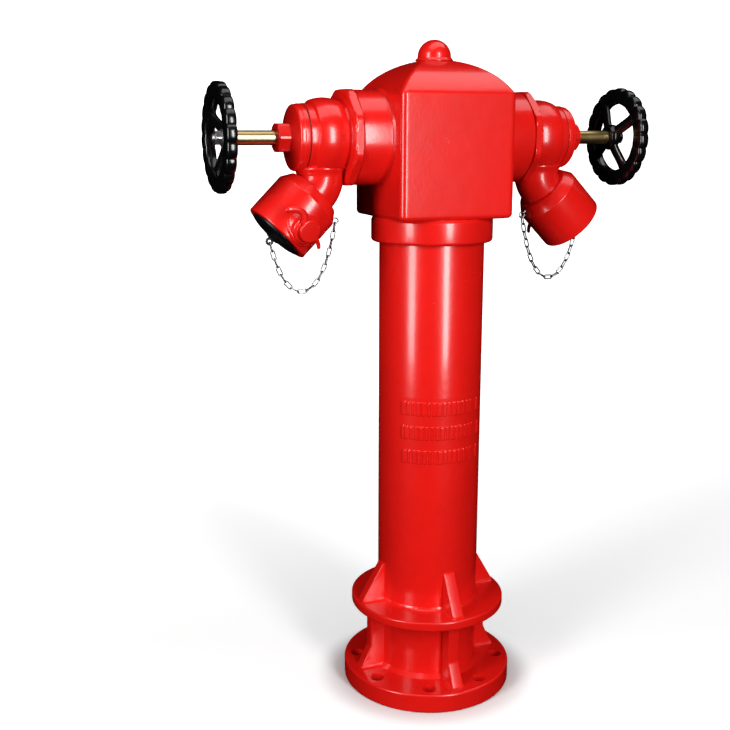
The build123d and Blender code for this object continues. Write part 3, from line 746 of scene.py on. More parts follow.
# The material slot that each finish of a new piece stands in for.
SLOTS = {
    **dict.fromkeys(("cast_red", "pipe_red", "plate_red", "fitting_red"), "red_enamel"),
    "black": "black_enamel",
    "brass": "brass",
    "steel": "steel",
    "zinc": "zinc",
    "plastic": "cap_plastic",
}


# ---- pillar ---------------------------------------------------------------------------------
def standpipe_shell():
    """The pipe as a closed ring outline with small chamfers at its ends."""
    edge = 1.2 * MM
    return ring(upright, 192, [
        (0.0, PIPE_BORE_R, edge), (0.0, PIPE_R, edge),
        (PIPE_TOP, PIPE_R, edge), (PIPE_TOP, PIPE_BORE_R, edge),
    ], steps=3)


def raised_bars():
    """Rows of plain upright bars that stand out of the pipe's front.

    The surface is r = pipe radius + pad + height * bars(angle, z), where bars is a product of
    smooth steps: it is 1 inside a bar, 0 between bars, with soft cast edges. The width of a bar
    wanders as a sine of its number. The patch dips into the pipe at its border.
    """
    size = sizes()
    rows_z = (497.0 - 39.7 * np.arange(size.bar_rows)) * MM
    bar_tall, soft, pitch, border = 21 * MM, 1.2 * MM, 8.4 * MM, 6 * MM
    gap = math.radians(33) * PIPE_R
    angle = np.linspace(math.radians(-60), math.radians(45), 470)[None, :]
    height = np.linspace(rows_z[-1] - 18 * MM, rows_z[0] + 18 * MM, 190)[:, None]
    around = angle * PIPE_R

    def step(value):
        """A smooth step from 0 to 1 over the soft width."""
        share = np.clip(value / soft + 0.5, 0, 1)
        return share * share * (3 - 2 * share)

    bars = np.zeros((height.size, angle.size))
    inside = step(around - around.min() - border) * step(around.max() - border - around)
    inside = inside * step(np.abs(around - gap) - border)
    for row, z in enumerate(rows_z):
        place = (around + row * 0.37 * pitch) / pitch
        number = np.floor(place) + row * 7.0
        wide = (4.6 + 1.5 * np.sin(number * 1.7)) * MM
        across = step(wide / 2 - np.abs(np.mod(place, 1.0) - 0.5) * pitch)
        bars += across * step(bar_tall / 2 - np.abs(height - z)) * inside
    radius = PIPE_R + 0.05 * MM + size.bar_height * bars
    radius[[0, -1], :] = PIPE_R - 1.0 * MM
    radius[:, [0, -1]] = PIPE_R - 1.0 * MM
    points = np.stack([
        radius * np.sin(angle), -radius * np.cos(angle), np.broadcast_to(height, radius.shape)
    ], -1)
    return skin(points, wrap_cols=False)


def weld_bead(z, up, leg):
    """A fillet weld round the pipe: a quarter-round cove whose leg ripples with the angle."""
    steps = np.linspace(0, math.pi / 2, 7)
    cove = np.stack([1 - np.cos(steps), 1 - np.sin(steps)], 1)
    outline = np.vstack([[(z - up * MM, PIPE_R - MM)], [(z - up * MM, PIPE_R + leg)],
                         np.stack([z + up * leg * cove[:, 0], PIPE_R + leg * cove[:, 1]], 1)])
    outline[-1, 1] = PIPE_R - MM

    def ripple(along, away, angle):
        """Adds the wave outside the pipe's wall."""
        wave = 0.14 * MM * np.sin(angle * 56 + 2.0 * np.sin(angle * 9))
        return np.where(away > PIPE_R + 0.5 * MM, away + wave, away)

    return upright(outline, segments=560, closed=True, radius=ripple)


def ground_ring():
    """The ground flange's plate with rounded rims."""
    half = sizes().ground_thick / 2
    inner = PIPE_R + 0.1 * MM
    return ring(upright, 192, [
        (GROUND_Z - half, inner, 0), (GROUND_Z - half, GROUND_R, 2.6 * MM),
        (GROUND_Z + half, GROUND_R, 2.6 * MM), (GROUND_Z + half, inner, 0),
    ])


def gusset_directions():
    """For each gusset, the way out from the pipe's axis and the way along the pipe's wall."""
    for turn in np.arange(4) * math.pi / 2:
        out = math.cos(turn) * X + math.sin(turn) * Y
        yield out, np.cross(Z, out)


def gusset_shells(profile):
    """Four plates round the pipe, each a stack of level sections up a (height, reach) profile.

    A section runs from inside the pipe's wall to the reach; its outer corners are quarter arcs:
    radius = reach + edge * (cos a - 1), offset = half thickness + edge * (sin a - 1).
    """
    half, edge = sizes().gusset_thick / 2, sizes().plate_edge
    profile = divided(profile, 8 * MM)
    inner = PIPE_R - 4.5 * MM
    angle = np.linspace(0, math.pi / 2, 6)
    offset = half + edge * (np.sin(angle) - 1)
    offset = np.concatenate([-offset[::-1], offset, [half, -half]])
    draw = edge * (np.cos(angle) - 1)
    reach = profile[:, 1:] + np.concatenate([draw[::-1], draw])
    reach = np.hstack([reach, np.full((len(profile), 2), inner)])
    height = profile[:, :1, None] * Z
    return [
        skin(reach[..., None] * out + offset[None, :, None] * along + height, caps=True)
        for out, along in gusset_directions()
    ]


def upper_gusset_shells():
    """The triangular plates over the ground flange."""
    foot = GROUND_Z + sizes().ground_thick / 2
    reach = high("upper_gussets", 0)
    top = high("upper_gussets", 2)
    return gusset_shells(rounded([
        (foot - 0.5 * MM, reach, 0), (foot + 3.5 * MM, reach, 2.5 * MM),
        (top, PIPE_R + 2.5 * MM, 2.5 * MM), (top, PIPE_R - 1 * MM, 0),
    ]))


def lower_gusset_shells():
    """The plates between the two flanges: wide at the foot, then straight up."""
    head = GROUND_Z - sizes().ground_thick / 2
    kink = 108 * MM
    return gusset_shells(rounded([
        (BASE_TOP - 0.5 * MM, 126 * MM, 0), (68 * MM, kink, 16 * MM), (head + 0.5 * MM, kink, 0),
    ]))


def gusset_welds(z, reach, up):
    """Straight fillet welds along one end of each gusset.

    The section is a cove, (1 - cos a, 1 - sin a) * leg, that swells as 1 + 0.07 sin(run / 3.2 mm).
    """
    half = sizes().gusset_thick / 2
    leg, root = 4.5 * MM, -0.6 * MM
    run = np.linspace(PIPE_R - MM, reach, 46)
    swell = 1 + 0.07 * np.sin(run / (3.2 * MM))
    angle = np.linspace(0, math.pi / 2, 6)
    cove = leg * np.stack([1 - np.cos(angle), 1 - np.sin(angle)], 1)
    section = np.vstack([[(root, root), (leg, root)], cove[::-1], [(root, leg)]])
    offset = half + section[None, :, :1] * swell[:, None, None]
    rise = z + up * section[None, :, 1:] * swell[:, None, None]
    return [
        skin(run[:, None, None] * out + offset * sign * along + rise * Z, caps=True)
        for out, along in gusset_directions() for sign in (1, -1)
    ]


class HYDRANT_OT_pillar(bpy.types.Operator):
    """Standpipe, ground flange, gussets, welds and the plain raised bars"""

    bl_idname = "hydrant.pillar"
    bl_label = "Build the pillar"

    def execute(self, context):
        leg = sizes().weld_leg
        ground_top = GROUND_Z + sizes().ground_thick / 2
        ground_bottom = GROUND_Z - sizes().ground_thick / 2
        beads, feet = [], []
        for z, up, reach in (
            (BASE_TOP, 1, 124 * MM), (ground_bottom, -1, 106 * MM), (ground_top, 1, 120 * MM),
        ):
            beads.append(weld_bead(z, up, leg))
            feet += gusset_welds(z, reach, up)
        for name, shells, finish_name, nodes in (
            ("standpipe_skin", [standpipe_shell()], "pipe_red", ["standpipe"]),
            ("raised_bars", [raised_bars()], "pipe_red", []),
            ("ground_flange_plate", [ground_ring()], "plate_red", ["ground_flange"]),
            ("upper_gusset_plates", upper_gusset_shells(), "plate_red", ["upper_gussets"]),
            ("lower_gusset_plates", lower_gusset_shells(), "plate_red", ["lower_gussets"]),
            ("pipe_welds", beads, "plate_red", []),
            ("gusset_welds", feet, "plate_red", []),
        ):
            make_piece(name, shells, finish_name, "pillar", nodes)
        dress("plate_red", "base_flange")
        return {"FINISHED"}


# ---- head -----------------------------------------------------------------------------------
def square_angles():
    """Angles round a square, close together at its corners."""
    edge = np.linspace(-41, 41, 25)
    corner = np.linspace(42.2, 47.8, 13)
    quarter = np.concatenate([edge, corner])
    return np.radians(np.concatenate([quarter + 90 * i for i in range(4)]))


def square_radius(angle, half, corner):
    """Distance from the centre to a rounded square: the flat's half / cos, or the corner arc.

    On the arc of radius p centred at (k, k), k = half - p, the distance is
    k (c + s) + sqrt(k^2 (c + s)^2 - 2 k^2 + p^2), with c and s the absolute cosine and sine.
    """
    c = np.abs(np.cos(angle))
    s = np.abs(np.sin(angle))
    big, small = np.maximum(c, s), np.minimum(c, s)
    flat = half / big
    k = half - corner
    root = np.maximum(k**2 * (c + s) ** 2 - 2 * k**2 + corner**2, 0)
    arc = k * (c + s) + np.sqrt(root)
    return np.where(flat * small > k, arc, flat)


def head_rows():
    """(half width, height, corner rounding, squareness) from the underside to the crown."""
    size = sizes()
    axis_z = size.head_eaves - math.sqrt(size.roof_radius**2 - size.head_half**2)
    reach = math.asin(size.head_half / size.roof_radius)
    vault = np.linspace(reach, 0.02, 40)[1:]
    roof = [
        (size.roof_radius * math.sin(a), axis_z + size.roof_radius * math.cos(a), 0)
        for a in vault
    ]
    corners = [
        (PIPE_R - 2 * MM, size.head_bottom, 0), (size.head_half, size.head_bottom, 8 * MM),
        (size.head_half, size.head_eaves, 14 * MM), *roof,
    ]
    outline = divided(rounded(corners, steps=8), 7 * MM)
    half, height = outline[:, 0], outline[:, 1]
    rising = np.clip((height - size.head_eaves) / (30 * MM), 0, 1)
    corner = size.head_corner * (1 - 0.55 * rising)
    square = np.clip((half - PIPE_R) / (size.head_half - PIPE_R - 4 * MM), 0, 1)
    square = np.where(height > size.head_bottom + 1 * MM, 1.0, square)
    corner = np.minimum(corner, half * 0.9)
    return half, height, corner, square


def head_shell():
    """The square head under its vaulted roof: rounded squares stacked along one outline."""
    half, height, corner, square = (v[:, None] for v in head_rows())
    angle = square_angles()[None, :]
    radius = square * square_radius(angle, half, corner) + (1 - square) * half
    points = np.stack([
        radius * np.cos(angle), radius * np.sin(angle), np.broadcast_to(height, radius.shape)
    ], -1)
    last = points[-1:].mean(1, keepdims=True) + np.zeros_like(points[-1:])
    return skin(np.vstack([points, last]))


def collar_shell():
    """The collar round the pipe's top, with a soft lower lip and a cove under the head."""
    top = sizes().head_bottom + 1 * MM
    inner = PIPE_R + 0.2 * MM
    return ring(upright, 160, [
        (COLLAR_BOTTOM, inner, 0.8 * MM), (COLLAR_BOTTOM, COLLAR_R, 5 * MM),
        (top - 5 * MM, COLLAR_R, 3 * MM), (top, COLLAR_R - 2.5 * MM, 0), (top, inner, 0),
    ])


def boss_shell():
    """A side boss with a small cove at the head's wall and a soft outer lip."""
    size = sizes()
    wall = size.head_half
    radius = size.boss_radius
    start = wall - 6 * MM
    return ring(on_valve, 160, [
        (start, 40 * MM, 0), (start, radius + 3.5 * MM, 0), (wall, radius + 3.5 * MM, 0.5 * MM),
        (wall + 4 * MM, radius, 3.5 * MM), (BOSS_END, radius, 2.5 * MM),
        (BOSS_END, 40 * MM, 0.5 * MM),
    ])


def plug_shell():
    """The domed plug: a short cylinder under a half ball, with a small foot bead."""
    base = low("crown_plug_seal", 2)
    centre = PLUG_TOP - PLUG_R
    dome = np.linspace(0, math.pi / 2, 22)
    cap = np.stack([centre + PLUG_R * np.sin(dome), PLUG_R * np.cos(dome)], 1)
    foot = rounded([
        (base, 0.0, 0), (base, PLUG_R + 1.6 * MM, 0.4 * MM),
        (base + 4.5 * MM, PLUG_R + 1.6 * MM, 1.2 * MM), (base + 7 * MM, PLUG_R, 2 * MM),
        (centre, PLUG_R, 0),
    ], steps=4)
    return upright(np.vstack([foot, cap[1:]]), segments=96)


class HYDRANT_OT_head(bpy.types.Operator):
    """Square head with its roof, collar and side bosses, and the crown plug"""

    bl_idname = "hydrant.head"
    bl_label = "Build the head"

    def execute(self, context):
        points, faces = boss_shell()
        bosses = [(placed(points, side), faces) for side in SIDES]
        make_piece(
            "head_shell", [head_shell(), collar_shell(), *bosses], "cast_red", "pillar",
            ["head_casing"],
        )
        make_piece("crown_plug_dome", [plug_shell()], "fitting_red", "pillar", ["crown_plug"])
        dress("rubber", "head_seal", "crown_plug_seal")
        return {"FINISHED"}


# ---- valve castings -------------------------------------------------------------------------
def octagon_shell():
    """The inlet octagon, its outer corners cut by a cone, with a shallow groove behind it."""
    width = valve().octagon_width
    corner = OCTAGON_FLATS / 2 / math.cos(math.pi / 8)
    inner = 44 * MM
    start = BOSS_END + 0.6 * MM
    end = BOSS_END + width
    return ring(on_valve, 192, [
        (start, inner, 0), (start, corner - 3.5 * MM, 0.5 * MM), (start + 2 * MM, corner, 0.5 * MM),
        (end - 5 * MM, corner, 0.5 * MM), (end, corner - 8 * MM, 1.2 * MM), (end, inner, 0),
    ], longest=3 * MM, radius=flats(OCTAGON_FLATS, 8, 1.2 * MM))


def globe_shell():
    """The valve's globe: a ball from the octagon to a band round its mouth, with a crease.

    The ball's outline is x = centre + R sin a, r = R cos a.
    """
    size = valve()
    start = BOSS_END + size.octagon_width - 4 * MM
    band = MOUTH_X - size.mouth_width
    first = -math.asin((size.globe_x - start - 7 * MM) / size.globe_radius)
    last = math.asin((band - 1.5 * MM - size.globe_x) / size.globe_radius)
    ball = [
        (size.globe_x + size.globe_radius * math.sin(a), size.globe_radius * math.cos(a), 0)
        for a in np.linspace(first, last, 40)
    ]
    return ring(on_valve, 144, [
        (start, 36 * MM, 0), (start, 55 * MM, 0), (start + 4.5 * MM, 55 * MM, 1.5 * MM), *ball,
        (band + 0.4 * MM, size.mouth_radius - 0.5 * MM, 1 * MM),
        (band + 1.6 * MM, size.mouth_radius, 0.5 * MM),
        (MOUTH_X, size.mouth_radius, 0.8 * MM), (MOUTH_X, 40.4 * MM, 0),
    ], steps=5)


def neck_path():
    """The outlet's centreline: down from inside the globe, round the bend, into the coupling."""
    size = valve()
    tangent = size.neck_bend * math.tan(math.pi / 8)
    top = BEND + Z * tangent
    start = np.array([BEND[0], 0.0, VALVE_Z - 34 * MM])
    upright_run = np.linspace(start, top, 22, endpoint=False)
    centre = top + X * size.neck_bend
    angle = np.linspace(0, math.pi / 4, 22)[:, None]
    bend = centre + size.neck_bend * (-np.cos(angle) * X - np.sin(angle) * Z)
    spigot = bend[-1] + np.linspace(1, 14, 6)[:, None] * MM * OUTLET
    return np.vstack([upright_run, bend, spigot])


def neck_shell():
    """The elbow: a wall between two tubes on one path, flared where it grows out of the globe.

    radius = neck radius + flare * exp(-((distance below the globe) / reach)^2).
    """
    size = valve()
    path = neck_path()
    below = math.sqrt(size.globe_radius**2 - size.neck_radius**2)
    depth = (VALVE_Z - below) - path[:, 2] + 6 * MM
    flare = 5.5 * MM * np.exp(-((np.maximum(depth, 0) / (9 * MM)) ** 2))
    inside = np.clip((path[:, 2] - (VALVE_Z - 46 * MM)) / (8 * MM), 0, 1)
    outer = tube_rows(path, size.neck_radius + flare * (1 - inside), segments=96)
    bore = tube_rows(path, np.full(len(path), size.neck_bore), segments=96)
    return skin(np.vstack([outer, bore[::-1]]), wrap_rows=True)


class HYDRANT_OT_valves(bpy.types.Operator):
    """Valve bodies with octagon, globe and elbow, and what is sealed inside them"""

    bl_idname = "hydrant.valves"
    bl_label = "Build the valve bodies"

    def execute(self, context):
        castings = [octagon_shell(), globe_shell(), neck_shell()]
        make_pair("valve_casting", castings, "cast_red", "pillar", "valve_body")
        dress_pairs("brass", "seat_ring", "disc_carrier", "disc_nut")
        dress_pairs("rubber", "disc_facing", "bonnet_gasket", "gland_packing")
        return {"FINISHED"}


# ---- bonnet and gland -----------------------------------------------------------------------
def bonnet_shell():
    """The screwed bonnet: a disc with a wide rounded shoulder and a low boss for the gland."""
    return solid(on_valve, 144, [
        (BONNET_X, 0.0, 0), (BONNET_X, BONNET_R, 1.2 * MM),
        (BONNET_X + 7 * MM, BONNET_R, 1 * MM), (BONNET_X + 8.2 * MM, BONNET_R - 0.9 * MM, 0.6 * MM),
        (BONNET_END - 6 * MM, BONNET_R - 0.9 * MM, 4 * MM),
        (BONNET_END - 1.2 * MM, 27 * MM, 2 * MM), (BONNET_END, 25 * MM, 1 * MM),
        (BONNET_END, 0.0, 0),
    ])


def gland_shell():
    """The gland nut: a hexagon cut by a cone at its outer face, open for the stem."""
    corner = GLAND_FLATS / 2 / math.cos(math.pi / 6)
    return ring(on_valve, 144, [
        (BONNET_END + 0.2 * MM, STEM_R + 0.6 * MM, 0),
        (BONNET_END + 0.2 * MM, corner - 1.5 * MM, 0.4 * MM),
        (BONNET_END + 1.6 * MM, corner, 0.4 * MM), (GLAND_END - 3.2 * MM, corner, 0.8 * MM),
        (GLAND_END, corner - 4.2 * MM, 0.6 * MM), (GLAND_END, STEM_R + 0.6 * MM, 0.5 * MM),
    ], steps=3, longest=2 * MM, radius=flats(GLAND_FLATS, 6, 0.8 * MM))


class HYDRANT_OT_bonnets(bpy.types.Operator):
    """Bonnets and gland nuts"""

    bl_idname = "hydrant.bonnets"
    bl_label = "Build the bonnets"

    def execute(self, context):
        make_pair("bonnet_disc", [bonnet_shell()], "cast_red", "pillar", "bonnet")
        make_pair("gland_hexagon", [gland_shell()], "fitting_red", "pillar", "gland_nut")
        return {"FINISHED"}


# ---- stem and handwheel ---------------------------------------------------------------------
def stem_shell():
    """The brass stem: r = stem radius - depth * (0.5 - 0.5 cos) of a fine turned groove."""
    start = STEM_START
    end = HUB_START
    run = np.arange(start + 2 * MM, end - 2 * MM, 0.35 * MM)
    pitch = 2.5 * MM
    groove = 0.012 * MM * (0.5 - 0.5 * np.cos(TURN * run / pitch))
    shaft = np.stack([run, STEM_R - 0.05 * MM - groove], 1)
    head = np.array([(start, 0.0), (start, STEM_R - 1 * MM), (start + MM, STEM_R - 0.1 * MM)])
    tail = rounded([
        (end - 1.6 * MM, STEM_R - 0.1 * MM, 0), (end - 0.4 * MM, STEM_R - 1.2 * MM, 0.4 * MM),
        (end, STEM_R - 2.6 * MM, 0), (end + 6 * MM, STEM_R - 3 * MM, 0), (end + 6 * MM, 0.0, 0),
    ], steps=3)
    return on_valve(np.vstack([head, shaft, tail]), segments=64)


def stem_tip_shell():
    """The steel-bright threaded tip that stands out of the wheel nut, with a shallow dome."""
    start = HUB_START + 6 * MM
    radius = 6 * MM
    run = np.arange(start, STEM_TIP - 1.6 * MM, 0.18 * MM)
    thread = 0.45 * MM * np.abs(2 * np.mod(run / (1.5 * MM), 1.0) - 1)
    shaft = np.stack([run, radius - thread], 1)
    tail = rounded([
        (STEM_TIP - 1.5 * MM, radius - 0.3 * MM, 0),
        (STEM_TIP - 0.4 * MM, radius - 1.4 * MM, 0.5 * MM),
        (STEM_TIP, 0.0, 0),
    ], steps=4)
    return on_valve(np.vstack([[(start, 0.0)], shaft, tail]), segments=48)


def rim_shell():
    """The scalloped rim: a soft oblong section carried round the wheel.

    section = centre + (a |cos|^p, b |sin|^p) with p = 0.55. The outside follows
    lobe(t) = |cos(n t / 2)|^0.5 for n lobes, which leaves narrow notches; the width follows it a
    little.
    """
    size = valve()
    notch, boxy = 4.0 * MM, 0.55
    angle = np.linspace(0, TURN, size.lobes * 24, endpoint=False)[None, :]
    lobe = (np.cos(size.lobes / 2 * (angle - size.first_spoke)) ** 2 + 0.003) ** 0.25
    turn = np.linspace(0, TURN, 40, endpoint=False)[:, None]
    crest = size.rim_crest - notch * (1 - lobe)
    inner = size.rim_inner + 0.3 * MM
    centre = (inner + size.rim_crest - notch) / 2
    swell = (RIM_END - size.rim_start) / 2 * (1 - 0.10 * (1 - lobe))
    cosine, sine = np.cos(turn), np.sin(turn)
    outwards = np.sign(cosine) * np.abs(cosine) ** boxy
    sideways = np.sign(sine) * np.abs(sine) ** boxy
    radius = centre + np.where(cosine > 0, crest - centre, centre - inner) * outwards
    along = (RIM_END + size.rim_start) / 2 + swell * sideways
    points = (
        VALVE_LINE
        + along[..., None] * X
        + radius[..., None] * (np.cos(angle)[..., None] * Z - np.sin(angle)[..., None] * Y)
    )
    return skin(points, wrap_rows=True)


def spoke_shells():
    """Spokes from hub to rim: oval tubes that rise in an S from the hub to the rim's middle.

    x = hub + rise * s^2 (3 - 2 s), and both widths grow towards the ends as flare * (2 s - 1)^4.
    """
    size = valve()
    share = np.linspace(0, 1, 26)
    radius = 12 * MM + share * (size.rim_inner - 6 * MM)
    hub_x = (HUB_START + HUB_END) / 2 + 1.5 * MM
    rim_x = (RIM_END + size.rim_start) / 2 - 4 * MM
    along = hub_x + (rim_x - hub_x) * share**2 * (3 - 2 * share)
    flare = np.abs(2 * share - 1) ** 4
    widths = np.stack([9.2 + 2.4 * flare, 5.2 + 0.6 * flare], 1) * MM
    shells = []
    for turn in size.first_spoke + TURN / size.spokes * np.arange(size.spokes):
        out = math.cos(turn) * Z - math.sin(turn) * Y
        path = VALVE_LINE + along[:, None] * X + radius[:, None] * out
        shells.append(swept(path, widths, side=np.cross(X, out), segments=32))
    return shells


def hub_shell():
    """The wheel's hub: a short boss with rounded lips and a machined recess for the washer."""
    radius = valve().hub_radius
    return ring(on_valve, 96, [
        (HUB_START, 8.2 * MM, 0), (HUB_START, radius - 3 * MM, 2 * MM),
        (HUB_START + 5 * MM, radius, 3 * MM), (HUB_END - 2 * MM, radius, 2.5 * MM),
        (HUB_END - 0.2 * MM, WASHER_R + 2.5 * MM, 1 * MM), (HUB_END - 0.2 * MM, 8.2 * MM, 0),
    ])


def nut_shell():
    """The wheel nut: a hexagon chamfered at both faces, bored for the tip."""
    corner = NUT_FLATS / 2 / math.cos(math.pi / 6)
    return ring(on_valve, 120, [
        (WASHER_END, 5.8 * MM, 0), (WASHER_END, corner - 1.8 * MM, 0.3 * MM),
        (WASHER_END + 1.2 * MM, corner, 0.3 * MM), (NUT_END - 1.6 * MM, corner, 0.4 * MM),
        (NUT_END, corner - 2.2 * MM, 0.4 * MM), (NUT_END, 6.6 * MM, 0.3 * MM),
        (NUT_END - 1.2 * MM, 5.6 * MM, 0),
    ], steps=3, longest=1.2 * MM, radius=flats(NUT_FLATS, 6, 0.4 * MM))


def washer_shell():
    """The plain washer under the nut, with rounded rims."""
    return ring(on_valve, 72, [
        (HUB_END, 6.4 * MM, 0.2 * MM), (HUB_END, WASHER_R, 0.5 * MM),
        (WASHER_END, WASHER_R, 0.6 * MM), (WASHER_END, 6.4 * MM, 0.2 * MM),
    ], steps=3)


class HYDRANT_OT_stems(bpy.types.Operator):
    """Brass stems and their bright tips"""

    bl_idname = "hydrant.stems"
    bl_label = "Build the stems"

    def execute(self, context):
        make_pair("brass_stem", [stem_shell()], "brass", "spindle", "stem")
        make_pair("stem_tip", [stem_tip_shell()], "steel", "spindle")
        return {"FINISHED"}


class HYDRANT_OT_handwheels(bpy.types.Operator):
    """Scalloped handwheels with their washers and nuts"""

    bl_idname = "hydrant.handwheels"
    bl_label = "Build the handwheels"

    def execute(self, context):
        wheel = [rim_shell(), *spoke_shells(), hub_shell()]
        make_pair("scalloped_wheel", wheel, "black", "spindle", "handwheel")
        make_pair("hub_washer", [washer_shell()], "steel", "spindle", "wheel_washer")
        make_pair("hub_nut", [nut_shell()], "steel", "spindle", "wheel_nut")
        return {"FINISHED"}


# ---- hose coupling --------------------------------------------------------------------------
def barrel_shell():
    """The coupling: shoulder cone, barrel and rounded mouth, bored for the hose's coupling."""
    size = valve()
    socket, throat, socket_end = 33.4 * MM, 30 * MM, 32 * MM
    return ring(on_outlet, 160, [
        (size.shoulder_start, socket, 0), (size.shoulder_start, size.shoulder_radius, 2 * MM),
        (size.barrel_start, size.barrel_radius, 3 * MM),
        (size.barrel_end, size.barrel_radius, 2.6 * MM),
        (size.barrel_end, size.coupling_bore, 1.2 * MM),
        (size.bore_start, size.coupling_bore, 0.5 * MM), (size.bore_start, throat, 0.8 * MM),
        (socket_end, throat, 0), (socket_end, socket, 0),
    ])


def catch_boss_shell():
    """The catch's round boss, flared where it grows out of the barrel."""
    foot, flare_top, radius = 45.5 * MM, 53 * MM, 22 * MM
    return solid(on_catch, 96, [
        (foot, 0.0, 0), (foot, radius + 6 * MM, 0), (flare_top, radius, 8 * MM),
        (CATCH_BOSS_TOP, radius, 2.4 * MM), (CATCH_BOSS_TOP, 0.0, 0),
    ])


def catch_ridge_shell():
    """A crescent ridge on the mouth's side of the catch, lying on the barrel.

    Its path is (22 cos a, 29 sin a) mm from the catch's axis, at the barrel's own height
    sqrt(R^2 - offset^2). The radius tapers to nothing at both ends, as cos(1.25 a)^0.5.
    """
    size = valve()
    reach = 72
    angle = np.linspace(math.radians(-reach), math.radians(reach), 60)[:, None]
    offset = 29 * MM * np.sin(angle)
    path = (
        BEND
        + OUTLET * (size.catch_at + 22 * MM * np.cos(angle))
        + np.cross(OUTLET, CATCH) * offset
        + CATCH * np.sqrt(size.barrel_radius**2 - offset**2)
    )
    taper = np.cos(angle * 90 / reach * 0.999) ** 0.5
    return swept(path, np.hstack([4.0 * MM * taper, 3.6 * MM * taper]), side=CATCH, segments=28)


def cover_shell():
    """The thin round plate on top of the catch's boss."""
    foot, top, radius = CATCH_BOSS_TOP - 0.2 * MM, CATCH_BOSS_TOP + 2 * MM, 17.5 * MM
    return solid(on_catch, 72, [
        (foot, 0.0, 0), (foot, radius, 0.4 * MM), (top, radius, 0.9 * MM), (top, 0.0, 0),
    ], steps=4)


def knob_shell():
    """The pull knob: a thick disc with a rounded rim and a flat face."""
    foot, top, radius = 63 * MM, valve().catch_top, 16.4 * MM
    return solid(on_catch, 80, [
        (foot, 0.0, 0), (foot, radius - 1 * MM, 0.6 * MM), (foot + 3 * MM, radius, 1 * MM),
        (top, radius, 1.8 * MM), (top, 0.0, 0),
    ], steps=5)


def wing_shells():
    """The two wings: oval bars that curve away from the knob, the upper one ending in a hook.

    Along s from 0 to 1: reach = start + length * s, height = base - drop * s^2, and the offset
    towards the mouth is lean * sin(pi s) + hook * s^3. The ends are round.
    """
    size = valve()
    share = np.linspace(0, 1, 30)[:, None]
    end = np.sqrt(np.clip(1 - np.clip((share - 0.88) / 0.12, 0, 1) ** 2, 0.0004, 1))
    centre = BEND + size.catch_at * OUTLET
    shells = []
    for across, length_, drop, lean, hook, wide, thick in (
        (np.cross(OUTLET, CATCH), 41 * MM, 4 * MM, -12 * MM, 5 * MM, 6.2 * MM, 3.8 * MM),
        (np.cross(CATCH, OUTLET), 26 * MM, 3 * MM, 0.0, 7 * MM, 4.2 * MM, 2.8 * MM),
    ):
        path = (
            centre
            + CATCH * (65.6 * MM - drop * share**2)
            + across * (9 * MM + length_ * share)
            + OUTLET * (lean * np.sin(math.pi * share) + hook * share**3)
        )
        widths = np.hstack([thick * (1 - 0.15 * share) * end, wide * (1 - 0.25 * share) * end])
        shells.append(swept(path, widths, side=CATCH, segments=28))
    return shells


class HYDRANT_OT_couplings(bpy.types.Operator):
    """Hose couplings with their catch bosses"""

    bl_idname = "hydrant.couplings"
    bl_label = "Build the hose couplings"

    def execute(self, context):
        barrel = [barrel_shell(), catch_boss_shell(), catch_ridge_shell()]
        make_pair("coupling_barrel", barrel, "cast_red", "pillar", "hose_coupling")
        dress_pairs("rubber", "coupling_seal")
        return {"FINISHED"}


class HYDRANT_OT_catches(bpy.types.Operator):
    """Pull catches: cover plate, knob with wings, pin and spring"""

    bl_idname = "hydrant.catches"
    bl_label = "Build the catches"

    def execute(self, context):
        make_pair("catch_plate", [cover_shell()], "fitting_red", "pillar", "catch_cover")
        knob = [knob_shell(), *wing_shells()]
        make_pair("winged_knob", knob, "fitting_red", "catch", "catch_knob")
        dress_pairs("steel", "catch_pin", "catch_spring")
        return {"FINISHED"}


# ---- blank cap and chain --------------------------------------------------------------------
def cap_shell():
    """The blank cap: a cup in the mouth under a domed, stepped face."""
    size = valve()
    return ring(on_outlet, 128, [
        (size.cap_start, size.cap_radius - 6 * MM, 0.8 * MM),
        (size.cap_start, size.cap_radius, 1.5 * MM),
        (size.cap_face, size.cap_radius, 2 * MM),
        (size.cap_face, size.cap_radius - 5 * MM, 1 * MM),
        (size.cap_face + 1.6 * MM, size.cap_radius - 7 * MM, 2 * MM),
        (size.cap_crown - 0.6 * MM, 20 * MM, 12 * MM), (size.cap_crown, 12 * MM, 2 * MM),
        (size.cap_crown + 2.2 * MM, 10 * MM, 1.6 * MM), (size.cap_crown + 2.6 * MM, 0.02 * MM, 0),
        (size.barrel_end, 0.02 * MM, 0), (size.barrel_end, size.cap_radius - 6 * MM, 2 * MM),
    ], steps=5)


def eye_shells(centre, axis, radius, wire, stalk_from):
    """A round eye: a torus in the plane square to axis, on a short stalk."""
    side = np.cross(axis, OUTLET)
    side = side / np.linalg.norm(side)
    other = np.cross(axis, side)
    turn = np.linspace(0, TURN, 40, endpoint=False)[:, None, None]
    tube = np.linspace(0, TURN, 18, endpoint=False)[None, :, None]
    out = np.cos(turn) * side + np.sin(turn) * other
    torus = centre + (radius + wire * np.cos(tube)) * out + wire * np.sin(tube) * axis
    way = centre - stalk_from
    reach = np.linalg.norm(way)
    way = way / reach
    stalk = stalk_from + way * np.linspace(0, reach - radius + 0.3 * wire, 8)[:, None]
    thickness = np.linspace(1.5, 1.05, 8) * wire
    return [skin(torus, wrap_rows=True), swept(stalk, thickness, side=axis, segments=24)]


def anchor_place():
    """Centre of the anchor's eye and the point of the shoulder that it is screwed into."""
    size = valve()
    at = 22 * MM
    slope = (size.barrel_radius - size.shoulder_radius) / (size.barrel_start - size.shoulder_start)
    surface = size.shoulder_radius + slope * (at - size.shoulder_start)
    root = BEND + at * OUTLET - OUTLET_UP * (surface - 3 * MM)
    return root - OUTLET_UP * 12 * MM, root


